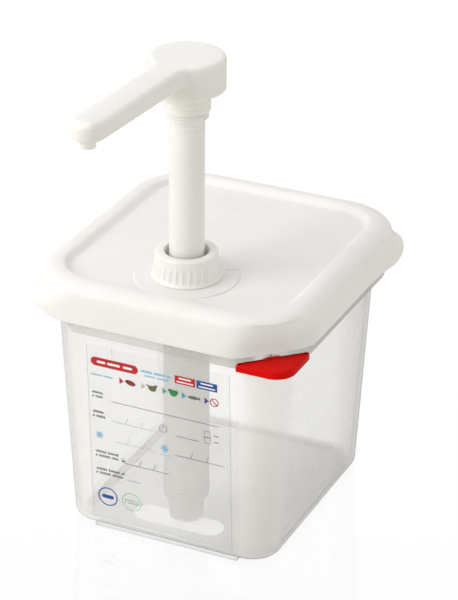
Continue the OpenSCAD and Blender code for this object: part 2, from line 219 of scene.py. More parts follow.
def corner_haze(tree, place, most):
    """Haze of the pan's rounded corners: it starts where the flat walls end, which lean out."""
    parts = add_node(tree, "ShaderNodeSeparateXYZ", {"Vector": place})
    across = [
        add_node(tree, "ShaderNodeMath", {0: parts.outputs[axis]}, operation="ABSOLUTE").outputs["Value"]
        for axis in "XY"
    ]
    total = add_node(tree, "ShaderNodeMath", {0: across[0], 1: across[1]}, operation="ADD")
    lean = add_node(tree, "ShaderNodeMath", {0: parts.outputs["Z"], 1: -0.0535}, operation="MULTIPLY")
    upright = add_node(
        tree, "ShaderNodeMath", {0: total.outputs["Value"], 1: lean.outputs["Value"]}, operation="ADD"
    )
    haze = add_node(
        tree,
        "ShaderNodeMapRange",
        {"Value": upright.outputs["Value"], "From Min": 0.113, "From Max": 0.127, "To Max": most},
        interpolation_type="SMOOTHSTEP",
    )
    return haze.outputs["Result"]


def see_through(
    name, face, edge, solid, rough=0.3, haze_mm=30, gloss=0.3, painted_glow=0.0, corners=0.0, side=0.0
):
    """Frosted plastic. Its colour goes from face to edge, and its solid share from the first
    value to the second, as the eye comes to pass along the wall. The painted glow is a white
    emission, strongest face on, that stands in for the light that the milky plastic passes on;
    corners adds haze at the pan's corners and foot and takes away part of the painted glow there;
    side adds haze towards the right as painted shade."""
    material, tree, surface = new_material(name)
    place = add_node(tree, "ShaderNodeTexCoord").outputs["Object"]
    facing = add_node(tree, "ShaderNodeLayerWeight", {"Blend": 0.5}).outputs["Facing"]
    curve = add_node(tree, "ShaderNodeMath", {0: facing, 1: 2.6}, operation="POWER").outputs["Value"]
    if corners:
        height = add_node(tree, "ShaderNodeSeparateXYZ", {"Vector": place}).outputs["Z"]
        foot = add_node(
            tree,
            "ShaderNodeMapRange",
            {"Value": height, "From Min": 0.001, "From Max": 0.006, "To Min": 0.7, "To Max": 0.0},
        ).outputs["Result"]
        curve = add_node(tree, "ShaderNodeMath", {0: curve, 1: foot}, operation="MAXIMUM")
        curve = curve.outputs["Value"]
    # Painted glow: a white emission for the light that the plastic lets through, strongest face on.
    painted_glow_face_on = add_node(
        tree,
        "ShaderNodeMapRange",
        {"Value": curve, "From Min": 0.25, "From Max": 0.8, "To Min": painted_glow, "To Max": 0.0},
    )
    cloudy = mottle(tree, place, haze_mm, face, tuple(0.93 * c for c in face))
    tint = add_node(
        tree, "ShaderNodeMix", {"Factor": curve, "A": cloudy, "B": (*edge, 1)}, data_type="RGBA"
    )
    spread = add_node(
        tree, "ShaderNodeMapRange", {"Value": curve, "To Min": solid[0], "To Max": solid[1]}
    )
    clouds = uneven(tree, place, haze_mm, -0.015, 0.015)
    share = add_node(tree, "ShaderNodeMath", {0: spread.outputs["Result"], 1: clouds}, operation="ADD")
    painted_glow_strength = painted_glow_face_on.outputs["Result"]
    if corners:
        haze = corner_haze(tree, place, corners)
        share = add_node(tree, "ShaderNodeMath", {0: share.outputs["Value"], 1: haze}, operation="ADD")
        painted_glow_cut = add_node(tree, "ShaderNodeMath", {0: haze, 1: 0.5}, operation="MULTIPLY")
        painted_glow_strength = add_node(
            tree,
            "ShaderNodeMath",
            {0: painted_glow_strength, 1: painted_glow_cut.outputs["Value"]},
            operation="SUBTRACT",
            use_clamp=True,
        ).outputs["Value"]
    # Painted shade: the plastic grows more solid, and so greyer, towards +X, where the pan's right side lies in shade.
    if side:
        across = add_node(tree, "ShaderNodeSeparateXYZ", {"Vector": place}).outputs["X"]
        haze = add_node(
            tree, "ShaderNodeMapRange", {"Value": across, "From Max": 0.05, "To Max": side}
        ).outputs["Result"]
        share = add_node(tree, "ShaderNodeMath", {0: share.outputs["Value"], 1: haze}, operation="ADD")
    shader = add_node(
        tree,
        "ShaderNodeBsdfPrincipled",
        {
            "Base Color": tint.outputs["Result"],
            "Roughness": uneven(tree, place, 7, rough - 0.04, rough + 0.04),
            "Normal": grain(tree, place, 2.5, 0.004),
            "IOR": 1.49,
            "Specular IOR Level": gloss,
            "Alpha": share.outputs["Value"],
            # Painted glow: the white emission worked out above.
            "Emission Color": (1, 1, 1, 1),
            "Emission Strength": painted_glow_strength,
        },
    )
    tree.links.new(shader.outputs["BSDF"], surface)
    return material


def natural_polypropylene(look):
    """Natural moulded polypropylene: milky and frosted, a darker, cooler grey seen edge on, and a painted glow in
    place of the light that it lets through.
    """
    solid = (look.pan_haze, 0.62)
    return see_through(
        "natural polypropylene", look.pan_colour, look.pan_edge, solid, painted_glow=0.19, corners=0.26
    )


def floor_and_shade_polypropylene(look):
    """The pan's floor: the same plastic, but textured and thicker, so that it looks greyer. It grows more solid
    towards +X as painted shade, and it also dresses the flange, partly for its doubled edge and partly as painted
    shade under the lid's skirt.
    """
    return see_through(
        "textured polypropylene with painted shade", look.pan_floor_and_shade, look.pan_edge, (0.28, 0.5), 0.45, side=0.3
    )


def pale_oval_glow_polypropylene(look):
    """The pale oval pad in the pan's floor: white, smooth and with a painted glow, so that it stays paler than the
    texture round it.
    """
    return see_through("pale oval polypropylene with painted glow", linear("ffffff"), linear("fafaf8"), (0.75, 0.8), 0.15, painted_glow=0.3)


def barrel_polypropylene(look):
    """The barrel's natural polypropylene: thick enough to hide most of what it holds."""
    edge = linear("c4c4c3")
    return see_through("natural barrel polypropylene", look.barrel_colour, edge, (0.78, 0.96), 0.35, 18)


def print_film(look):
    """Clear in-mould film: a faint milky sheet, glossier than the wall that it sits on."""
    return see_through("clear print film", linear("e6e9ea"), linear("c9cdd0"), (0.06, 0.3), 0.16, 14, 0.4)


def steel(name, grain_mm, rough):
    """Stainless steel: plain grey metal with the fine marks that drawing or grinding leaves."""
    material, tree, surface = new_material(name)
    place = add_node(tree, "ShaderNodeTexCoord").outputs["Object"]
    shader = add_node(
        tree,
        "ShaderNodeBsdfPrincipled",
        {
            "Base Color": mottle(tree, place, 6, linear("c9c9c6"), linear("b5b5b2")),
            "Roughness": uneven(tree, place, grain_mm, rough - 0.06, rough + 0.08),
            "Normal": grain(tree, place, grain_mm, 0.01),
            "Metallic": 1.0,
        },
    )
    tree.links.new(shader.outputs["BSDF"], surface)
    return material


def ink(name, hex_code):
    """Screen ink: a flat colour with the pinholes and thin places of a real print."""
    shade = linear(hex_code)
    thin = tuple(0.95 * c + 0.02 for c in shade)
    material, tree, surface = new_material(f"{name} ink")
    place = add_node(tree, "ShaderNodeTexCoord").outputs["Object"]
    shader = add_node(
        tree,
        "ShaderNodeBsdfPrincipled",
        {
            "Base Color": mottle(tree, place, 1.2, shade, thin, 5.0),
            "Roughness": uneven(tree, place, 3, 0.3, 0.42),
            "IOR": 1.48,
            "Specular IOR Level": 0.3,
        },
    )
    tree.links.new(shader.outputs["BSDF"], surface)
    return material


# ---- mesh tools ----


def finish_piece(bm, name, body, materials, replaced, crease=35.0, recalc=True):
    """Turns a mesh in millimetres into a piece that rides on a CAD body."""
    bmesh.ops.remove_doubles(bm, verts=bm.verts, dist=0.002)
    if recalc:
        bmesh.ops.recalc_face_normals(bm, faces=bm.faces)
    bmesh.ops.scale(bm, vec=(MM, MM, MM), verts=bm.verts)
    mesh = bpy.data.meshes.new(name)
    bm.to_mesh(mesh)
    bm.free()
    for material in materials:
        mesh.materials.append(material)
    mesh.shade_smooth()
    mesh.set_sharp_from_angle(angle=math.radians(crease))
    piece = bpy.data.objects.new(name, mesh)
    bpy.context.scene.collection.objects.link(piece)
    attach(piece, body)
    if replaced:
        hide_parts(*replaced)
    return piece


def spin_profile(bm, points, axis, steps=96):
    """A closed turned solid: points are (radius, height), and the line's ends lie on no axis."""
    verts = [bm.verts.new((axis[0] + r, axis[1], z)) for r, z in points]
    edges = [bm.edges.new(pair) for pair in zip(verts, verts[1:] + verts[:1])]
    made = bmesh.ops.spin(
        bm,
        geom=verts + edges,
        cent=(axis[0], axis[1], 0),
        axis=(0, 0, 1),
        angle=math.tau,
        steps=steps,
        use_merge=True,
        use_duplicate=False,
    )
    return made


def spin_cap(bm, points, axis, steps=96):
    """A turned solid whose profile starts and ends on the axis, so that it closes there."""
    verts = [bm.verts.new((axis[0] + r, axis[1], z)) for r, z in points]
    edges = [bm.edges.new(pair) for pair in zip(verts, verts[1:])]
    bmesh.ops.spin(
        bm,
        geom=verts + edges,
        cent=(axis[0], axis[1], 0),
        axis=(0, 0, 1),
        angle=math.tau,
        steps=steps,
        use_merge=True,
        use_duplicate=False,
    )


def arc(centre, radius, start, end, steps):
    """Points along an arc, as (radius, height) or (inset, height) pairs; radius may be a pair."""
    a, b = radius if isinstance(radius, tuple) else (radius, radius)
    turns = [math.radians(start + (end - start) * i / steps) for i in range(steps + 1)]
    return [(centre[0] + a * math.cos(t), centre[1] + b * math.sin(t)) for t in turns]


def blend_value(low, high, share):
    """The value that share of the way from low to high."""
    return low + (high - low) * share


def smooth_step(low, high, value):
    """0 below low and 1 above high, with a smooth rise between."""
    share = min(1.0, max(0.0, (value - low) / (high - low)))
    return share * share * (3 - 2 * share)


# Corners of a ring, counter-clockwise from +X +Y. The lid has its tabs at the even ones and
# its cut corners at the odd ones.
CORNER_SIGNS = ((1, 1), (-1, 1), (-1, -1), (1, -1))
CORNER_STEPS = 14
SIDE_SHARES = (0.05, 0.11, 0.19, 0.3, 0.5, 0.7, 0.81, 0.89, 0.95)


def corner_point(corner, turn, half, radii):
    """A point on a rounded rectangle's corner; turn goes from 0 to 1 round it."""
    sign = CORNER_SIGNS[corner % 4]
    r = radii[corner % 2]
    angle = math.radians(90 * (corner + turn))
    return Vector(
        (sign[0] * (half[0] - r) + r * math.cos(angle), sign[1] * (half[1] - r) + r * math.sin(angle))
    )


def ring_points(half, radii):
    """The points of a rounded rectangle, given its half sizes and the radii of its two corner kinds."""
    points = []
    for corner in range(4):
        points += [corner_point(corner, j / CORNER_STEPS, half, radii) for j in range(CORNER_STEPS + 1)]
        start, end = points[-1], corner_point(corner + 1, 0, half, radii)
        points += [start.lerp(end, share) for share in SIDE_SHARES]
    return points


def loft(bm, sections, shape=None):
    """Extrudes a ring from section to section. A section is (half sizes, corner radii, height).
    Returns the edges of the first ring and of the last."""
    count = len(ring_points((100, 100), (10, 10)))
    step = bm.verts.layers.int.get("step") or bm.verts.layers.int.new("step")
    made = bmesh.ops.create_circle(bm, segments=count, radius=1)
    verts = made["verts"]
    for i, v in enumerate(verts):
        v[step] = i
    ring = list({e for v in verts for e in v.link_edges})
    first = ring
    for number, (half, radii, height) in enumerate(sections):
        if number:
            geom = bmesh.ops.extrude_edge_only(bm, edges=ring)["geom"]
            verts = [g for g in geom if isinstance(g, bmesh.types.BMVert)]
            fresh = set(verts)
            ring = [
                g for g in geom if isinstance(g, bmesh.types.BMEdge) and fresh.issuperset(g.verts)
            ]
        points = ring_points(half, radii)
        for v in verts:
            x, y = points[v[step]]
            place = Vector((x, y, height))
            v.co = shape(place, number) if shape else place
    return first, ring


def cap(bm, ring):
    """Closes a flat ring with one face."""
    bmesh.ops.contextual_create(bm, geom=ring)


def fill_round_hole(bm, ring, radius, height, steps=64):
    """Fills a flat ring round a circular hole on the pump's axis. Returns the hole's edges."""
    spot = Matrix.Translation((PUMP_AXIS.x, PUMP_AXIS.y, height))
    made = bmesh.ops.create_circle(bm, segments=steps, radius=radius, matrix=spot)
    hole = list({e for v in made["verts"] for e in v.link_edges})
    bmesh.ops.triangle_fill(bm, edges=ring + hole, use_beauty=True)
    return hole


def rounded_box(bm, low, high, radius, matrix=None, material=0):
    """A box between two corners with its edges rounded."""
    size = Vector(high) - Vector(low)
    middle = (Vector(high) + Vector(low)) / 2
    spot = Matrix.Translation(middle) @ Matrix.Diagonal((*size, 1))
    made = bmesh.ops.create_cube(bm, size=1, matrix=spot)
    edges = list({e for v in made["verts"] for e in v.link_edges})
    rounded = bmesh.ops.bevel(
        bm,
        geom=edges,
        offset=radius,
        affect="EDGES",
        segments=3,
        profile=0.5,
        material=-1,
    )
    faces = {f for v in rounded["verts"] for f in v.link_faces} | set(rounded["faces"])
    verts = list({v for f in faces for v in f.verts})
    for face in faces:
        face.material_index = material
    if matrix:
        bmesh.ops.transform(bm, matrix=matrix, verts=verts)
    return verts


def helix_ridge(bm, axis, root, crest, start, pitch, turns, steps=48):
    """A thread: a small triangle screwed round a shaft, closed at both ends."""
    half = (crest - root) + 0.35
    profile = ((root - 0.3, start - half), (crest, start - 0.2), (crest, start + 0.2), (root - 0.3, start + half))
    verts = [bm.verts.new((axis[0] + r, axis[1], z)) for r, z in profile]
    edges = [bm.edges.new(pair) for pair in zip(verts, verts[1:] + verts[:1])]
    bm.faces.new(verts)
    count = int(steps * turns)
    made = bmesh.ops.spin(
        bm,
        geom=verts + edges,
        cent=(axis[0], axis[1], 0),
        axis=(0, 0, 1),
        dvec=(0, 0, pitch / steps),
        angle=math.tau * turns,
        steps=count,
        use_merge=False,
        use_duplicate=False,
    )
    last = [g for g in made["geom_last"] if isinstance(g, bmesh.types.BMVert)]
    bmesh.ops.contextual_create(bm, geom=last)


# ---- the pan ----


def wall_half(pan, height):
    """Half sizes of the pan's outside at a height."""
    share = height / PAN_HIGH.z
    lean = pan.taper / MM * (share - 1)
    overhang = pan.overhang / MM
    return PAN_HIGH.x - overhang + lean, PAN_HIGH.y - overhang + lean


def wall_radius(pan, height):
    """Corner radius of the pan's outside at a height."""
    return blend_value(pan.foot_radius, pan.top_radius, height / PAN_HIGH.z) / MM


def pan_sections(pan):
    """The pan's rings: up the outside, round the flange and down the inside."""
    thick = pan.wall / MM
    top = PAN_HIGH.z
    edge = top - pan.flange_drop / MM
    under = 1.2
    floor = under + 2.2
    sections = []

    def add(half, inset, radius, height):
        sections.append(((half[0] - inset, half[1] - inset), (radius, radius), height))

    def add_wall(height, inset, tighter=0.0):
        add(wall_half(pan, height), inset, wall_radius(pan, height) - inset - tighter, height)

    # underside and the rounding up into the wall
    foot = 4.2
    add(wall_half(pan, under), foot + 1.5, wall_radius(pan, 0) - foot - 1.5, under)
    for inset, height in arc((foot, under + foot), foot, 270, 180, 7):
        add(wall_half(pan, height), inset, wall_radius(pan, height) - inset, height)
    add_wall(under + foot + 0.6, 0)
    for share in (0.25, 0.5, 0.75):
        add_wall(blend_value(under + foot, edge, share), 0)
    add_wall(top - 4, 0)
    add_wall(top - 3, 0)
    # flange: out under its top, down its drop and up the outside again
    brim = (PAN_HIGH.x, PAN_HIGH.y)
    corner = pan.flange_radius / MM
    add(wall_half(pan, top - 2), -0.9, wall_radius(pan, top) + 0.9, top - 2.1)
    add(brim, 2.8, corner - 2.8, top - 2.1)
    add(brim, 2.0, corner - 2.0, top - 2.9)
    add(brim, 2.0, corner - 2.0, edge + 0.4)
    add(brim, 1.6, corner - 1.6, edge)
    add(brim, 0.4, corner - 0.4, edge)
    add(brim, 0.0, corner, edge + 0.4)
    add(brim, 0.0, corner, top - 3)
    for inset, height in arc((2.4, top - 2.4), 2.4, 180, 90, 5):
        add(brim, inset, corner - inset, height)
    add(brim, 3.2, corner - 3.2, top)
    # inner edge, inside wall and floor
    lip = wall_half(pan, top)
    add(lip, thick - 1.4, wall_radius(pan, top) - thick + 1.4, top)
    for inset, height in arc((thick - 0.8, top - 0.8), 0.8, 90, 0, 4):
        add(lip, inset, wall_radius(pan, top) - inset, height)
    for share in (0.98, 0.75, 0.5, 0.25, 0.02):
        add_wall(blend_value(floor + foot, top - 1, share), thick)
    for inset, height in arc((foot, floor + foot), foot, 180, 270, 7):
        add(wall_half(pan, height), inset + thick, wall_radius(pan, height) - inset - thick, height)
    add(wall_half(pan, floor), foot + thick + 1, wall_radius(pan, 0) - foot - thick - 1, floor)
    return sections


def cut_at(point, limit):
    """Moves a point outside a cut corner straight in to the cut."""
    over = abs(point.x) + abs(point.y) - limit
    if over > 0:
        point.x -= math.copysign(over / 2, point.x)
        point.y -= math.copysign(over / 2, point.y)
    return point


def cut_limit():
    """Largest |x| + |y| of the flange, from the clip that sits against its cut corner."""
    low, high = box_mm("colour_clip")
    leg = high.x - low.x
    return high.x - low.y - leg - 0.45


def add_pan(pan, look):
    """The pan: walls, turned-down flange, foot strips, tongue and the oval in its floor."""
    bm = bmesh.new()
    sections = pan_sections(pan)
    limit = cut_limit()
    brim_start = PAN_HIGH.z - 22

    def shape(point, _):
        return cut_at(point, limit) if point.z > brim_start else point

    first, last = loft(bm, sections, shape)
    cap(bm, first)
    cap(bm, last)
    bmesh.ops.recalc_face_normals(bm, faces=bm.faces)
    wall = wall_half(pan, PAN_HIGH.z)
    # Floor and flange take the greyer floor plastic: on the flange this is partly its doubled edge and partly painted
    # shade under the lid's skirt.
    for face in bm.faces:
        middle = face.calc_center_median()
        in_brim = abs(middle.x) > wall[0] + 0.5 or abs(middle.y) > wall[1] + 0.5
        if middle.z < 3.6 or in_brim:
            face.material_index = 2
    foot = wall_half(pan, 0)
    long_x, long_y, wide, strip = pan.strip_x / MM, pan.strip_y / MM, 4.6, 2.6
    for side in (-1, 1):
        y = sorted((side * foot[1], side * (foot[1] - wide)))
        x = sorted((side * (foot[0] - 4), side * (foot[0] - 4 - wide)))
        rounded_box(bm, (-long_x, y[0], 0), (long_x, y[1], strip), 0.6)
        rounded_box(bm, (x[0], -long_y, 0), (x[1], long_y, strip), 0.6)
    # tongue that the clip slides on to
    turn = Matrix.Rotation(math.radians(-45), 4, "Z")
    reach = limit / math.sqrt(2)
    rounded_box(bm, (reach - 4, -6, 134.6), (reach + 9, 6, 136.2), 0.4, turn)
    # pale oval pad with a painted glow, a hair above the floor
    oval_low, oval_high = (-30, -59.5, 3.3), (27, -42.5, 3.55)
    rounded_oval(bm, oval_low, oval_high, 1)
    finish_piece(
        bm,
        "pan",
        "pan",
        [natural_polypropylene(look), pale_oval_glow_polypropylene(look), floor_and_shade_polypropylene(look)],
        ["container"],
        recalc=False,
    )


def rounded_oval(bm, low, high, material):
    """A flat pad with fully round ends between two corners."""
    width, depth = high[0] - low[0], high[1] - low[1]
    spot = Matrix.Translation(((low[0] + high[0]) / 2, (low[1] + high[1]) / 2, low[2]))
    made = bmesh.ops.create_grid(
        bm, x_segments=1, y_segments=1, size=0.5, matrix=spot @ Matrix.Diagonal((width, depth, 1, 1))
    )
    rounded = bmesh.ops.bevel(
        bm,
        geom=made["verts"],
        offset=depth * 0.499,
        affect="VERTICES",
        segments=10,
        profile=0.5,
        material=-1,
    )
    faces = list({f for v in rounded["verts"] for f in v.link_faces})
    raised = bmesh.ops.extrude_face_region(bm, geom=faces)
    top = [g for g in raised["geom"] if isinstance(g, bmesh.types.BMVert)]
    bmesh.ops.translate(bm, vec=(0, 0, high[2] - low[2]), verts=top)
    around = {f for v in top for f in v.link_faces} | set(faces)
    for face in around:
        face.material_index = material
    bmesh.ops.recalc_face_normals(bm, faces=list(around))


# ---- the print on the pan's front ----


class Print:
    """Flat printed shapes in the plane of the front wall: x across and z up, in millimetres."""

    def __init__(self, pan):
        self.bm = bmesh.new()
        self.pan = pan
        self.inks = []

    def ink_number(self, name):
        """Number of an ink, added when it is first used. The film is number 0."""
        if name not in self.inks:
            self.inks.append(name)
        return self.inks.index(name) + 1

    def settle(self, verts, name, lift):
        """Gives flat faces their ink and thickness, and sets how far they stand off the wall."""
        faces = list({f for v in verts if v.is_valid for f in v.link_faces})
        number = self.ink_number(name) if name else 0
        layer = 0.05
        made = bmesh.ops.extrude_face_region(self.bm, geom=faces)
        top = [g for g in made["geom"] if isinstance(g, bmesh.types.BMVert)]
        bmesh.ops.translate(self.bm, vec=(0, -layer, 0), verts=top)
        around = list({f for v in top for f in v.link_faces} | set(faces))
        for face in around:
            face.material_index = number
        everything = list({v for f in around for v in f.verts})
        bmesh.ops.translate(self.bm, vec=(0, -lift, 0), verts=everything)
        bmesh.ops.recalc_face_normals(self.bm, faces=around)

    def upright(self, x, z, turn=0.0, size=(1, 1)):
        """Matrix that stands a flat shape up on the wall at a place, turned and sized."""
        return (
            Matrix.Translation((x, 0, z))
            @ Matrix.Rotation(math.pi / 2, 4, "X")
            @ Matrix.Rotation(math.radians(turn), 4, "Z")
            @ Matrix.Diagonal((*size, 1, 1))
        )

    def bar(self, x, z, width, height, name, turn=0.0, round_by=0.0, lift=0.1):
        """A bar centred at a place, with round corners if asked."""
        made = bmesh.ops.create_grid(
            self.bm, x_segments=1, y_segments=1, size=0.5, matrix=self.upright(x, z, turn, (width, height))
        )
        verts = made["verts"]
        if round_by:
            verts = bmesh.ops.bevel(
                self.bm,
                geom=verts,
                offset=round_by,
                affect="VERTICES",
                segments=6,
                profile=0.5,
                material=-1,
            )["verts"]
        self.settle(verts, name, lift)

    def disc(self, x, z, width, height, name, turn=0.0, sides=24, lift=0.1):
        """An ellipse, or with few sides a triangle, kite or drop."""
        made = bmesh.ops.create_circle(
            self.bm,
            cap_ends=True,
            segments=sides,
            radius=0.5,
            matrix=self.upright(x, z, turn, (width, height)),
        )
        self.settle(made["verts"], name, lift)

    def ring(self, x, z, width, height, line, name, lift=0.1):
        """The outline of an ellipse."""
        made = bmesh.ops.create_circle(
            self.bm, segments=36, radius=0.5, matrix=self.upright(x, z, 0, (width, height))
        )
        edges = list({e for v in made["verts"] for e in v.link_edges})
        grown = bmesh.ops.extrude_edge_only(self.bm, edges=edges)["geom"]
        inner = [g for g in grown if isinstance(g, bmesh.types.BMVert)]
        shrink = Matrix.Diagonal(((width - 2 * line) / width, 1, (height - 2 * line) / height, 1))
        spot = Matrix.Translation((x, 0, z))
        bmesh.ops.transform(self.bm, matrix=spot @ shrink @ spot.inverted(), verts=inner)
        self.settle(made["verts"], name, lift)

    def rule(self, x0, x1, z, name, ticks=(), line=0.32):
        """A writing line with short slanted ticks standing on it."""
        self.bar((x0 + x1) / 2, z, x1 - x0, line, name)
        for x in ticks:
            self.bar(x, z + 2.2, 0.3, 4.2, name, turn=-20)

    def words(self, x, z, width, height, name, rows=1):
        """Lines of stand-in text: words made of small plain blocks of uneven size."""
        step = height / rows
        for row in range(rows):
            start, block = x, 5 * row
            while start < x + width - 0.6:
                wide = 0.62 + 0.3 * abs(math.sin(2.1 * block + 0.4))
                tall = step * (0.42 + 0.16 * abs(math.sin(1.3 * block)))
                self.bar(start + wide / 2, z - step * 0.75 + tall / 2, wide, tall, name)
                block += 1
                start += wide + (1.3 if block % 6 == 0 else 0.38)
            z -= step

    def snowflake(self, x, z, size, name):
        """Three crossed bars with small barbs near their ends."""
        for turn in (0, 60, 120):
            self.bar(x, z, size, size * 0.08, name, turn)
        for turn in range(0, 360, 60):
            out = size * 0.3
            self.bar(
                x + out * math.cos(math.radians(turn)),
                z + out * math.sin(math.radians(turn)),
                size * 0.07,
                size * 0.3,
                name,
                turn,
            )

    def finish(self, body, film, look):
        """Lays everything on the leaning wall and makes the piece."""
        for v in self.bm.verts:
            v.co.y -= wall_half(self.pan, v.co.z)[1] + 0.02
        materials = [film] + [ink(name, INKS[name]) for name in self.inks]
        return finish_piece(
            self.bm, "label", body, materials, ["label_film"], recalc=False
        )


# Screen inks of the label, as sRGB
INKS = {
    "grey": "6a6a6a",
    "pale grey": "b9bcbc",
    "red": "c21f26",
    "blue": "1f4f9c",
    "sky": "62b5de",
    "magenta": "b8234f",
    "brown": "8a3b34",
    "beige": "cfc5a2",
    "olive": "6f6640",
    "mint": "4fb08e",
    "green": "2f8f45",
    "cyan": "3fa8c4",
    "violet": "5a3f96",
    "leaf": "8fc58a",
    "white": "f6f6f6",
}


def food_row(label):
    """The row of colour codes: a pointer and a plain food sign for each."""
    z = 104.2
    for x, name in ((-25.1, "magenta"), (-11.2, "beige"), (2.1, "mint"), (14.2, "cyan"), (28.3, "violet")):
        label.disc(x, z, 5.0, 3.6, name, sides=3, turn=-90)
    # cut of meat, bird, leaf and fish
    label.disc(-19.0, z, 6.4, 3.4, "brown", turn=-12)
    label.disc(-21.4, z + 0.7, 2.2, 1.6, "brown")
    label.disc(-5.2, z - 0.2, 5.0, 3.8, "olive")
    label.disc(-3.0, z + 1.6, 2.0, 1.8, "olive")
    label.disc(-7.9, z + 1.1, 2.4, 1.2, "olive", turn=-30)
    label.disc(8.0, z, 4.8, 4.2, "green")
    label.disc(6.0, z + 1.4, 2.6, 2.2, "green")
    label.disc(10.0, z + 1.0, 2.4, 2.4, "green")
    label.disc(20.4, z, 6.6, 2.2, "grey")
    label.disc(24.2, z, 2.8, 2.0, "grey", sides=3, turn=90)
    # sign for free of these foods
    label.ring(33.4, z, 5.4, 5.4, 0.6, "red")
    label.bar(33.4, z, 5.0, 0.6, "red", turn=-45)


def add_label(pan, look):
    """The printed film: writing lines, boxes and plain signs, with bars for its text."""
    label = Print(pan)
    middle = (FILM_LOW.x + FILM_HIGH.x) / 2
    width, height = FILM_HIGH.x - FILM_LOW.x, FILM_HIGH.z - FILM_LOW.z
    label.bar(middle, FILM_LOW.z + height / 2, width, height, None, round_by=1.5, lift=0.02)
    # heading
    label.bar(-29, 113.6, 30, 5.6, "red", round_by=2.79)
    for x, length in ((-37.4, 5.4), (-29.4, 8.2), (-20.6, 5.8)):
        label.bar(x, 113.6, length, 1.5, "white", round_by=0.7, lift=0.16)
    label.words(-12.1, 115.4, 18.6, 2.6, "sky")
    label.words(-10.0, 112.3, 15.5, 1.8, "sky")
    label.bar(15.4, 113.8, 12.6, 5.2, "red")
    label.bar(29.0, 113.8, 12.8, 5.2, "blue")
    for x in (15.4, 29.0):
        label.bar(x, 114.9, 7.6, 0.9, "white", lift=0.16)
        label.bar(x, 112.6, 10.2, 0.8, "white", lift=0.16)
    label.words(-44.3, 105.6, 14.5, 1.9, "sky")
    food_row(label)
    # writing lines
    label.words(-44.0, 94.2, 7.4, 5.4, "grey", rows=2)
    label.rule(-31.2, 36.0, 88.8, "grey")
    label.words(-44.0, 81.4, 8.4, 6.0, "grey", rows=2)
    label.rule(-31.4, -4.0, 75.6, "pale grey", ticks=(-22.5, -12.6))
    label.ring(0.9, 79.0, 5.2, 5.2, 0.3, "grey")
    label.bar(0.9, 79.9, 0.3, 1.8, "grey")
    label.rule(8.9, 23.0, 76.0, "grey")
    for z in (82.2, 78.0):
        label.bar(28.7, z + 1.9, 4.0, 0.25, "grey")
        label.bar(28.7, z - 1.9, 4.0, 0.25, "grey")
        label.bar(26.8, z, 0.25, 3.8, "grey")
        label.bar(30.6, z, 0.25, 3.8, "grey")
        label.words(32.6, z + 0.6, 3.0, 1.3, "grey")
    label.snowflake(-40.4, 64.4, 5.2, "sky")
    label.rule(-30.6, -5.4, 62.0, "pale grey", ticks=(-22.0, -12.2))
    label.snowflake(1.4, 65.6, 5.6, "sky")
    for x in (-0.8, 1.4, 3.6):
        label.disc(x, 61.2, 0.9, 0.9, "sky")
    label.rule(8.3, 38.4, 63.0, "grey", ticks=(18.6, 28.6))
    label.words(-43.4, 54.4, 15.0, 5.6, "grey", rows=2)
    label.bar(-25.4, 51.6, 2.4, 0.3, "grey")
    label.bar(-25.4, 50.0, 2.2, 1.2, "grey")
    label.rule(-24.3, 3.9, 48.8, "grey", ticks=(-14.6, -5.4))
    label.words(-43.3, 42.4, 18.2, 5.4, "grey", rows=2)
    label.words(-23.6, 38.6, 9.8, 1.9, "pale grey")
    # two plain approval rings
    label.ring(-36.5, 22.6, 12.6, 12.6, 0.7, "blue")
    label.bar(-36.5, 22.6, 7.6, 2.4, "blue", round_by=1.1)
    label.ring(-21.0, 22.8, 12.6, 12.0, 0.35, "leaf")
    label.words(-25.6, 24.6, 9.2, 3.6, "leaf", rows=2)
    # fold line at the left and the film's own edge lines
    label.bar(-30.2, 121.2, 0.25, 6.0, "pale grey")
    label.bar(43.0, 65.2, 0.2, 117.6, "pale grey", lift=0.08)
    label.bar(-46.4, 65.2, 0.2, 117.6, "pale grey", lift=0.08)
    label.finish("pan", print_film(look), look)


# ---- the clip ----


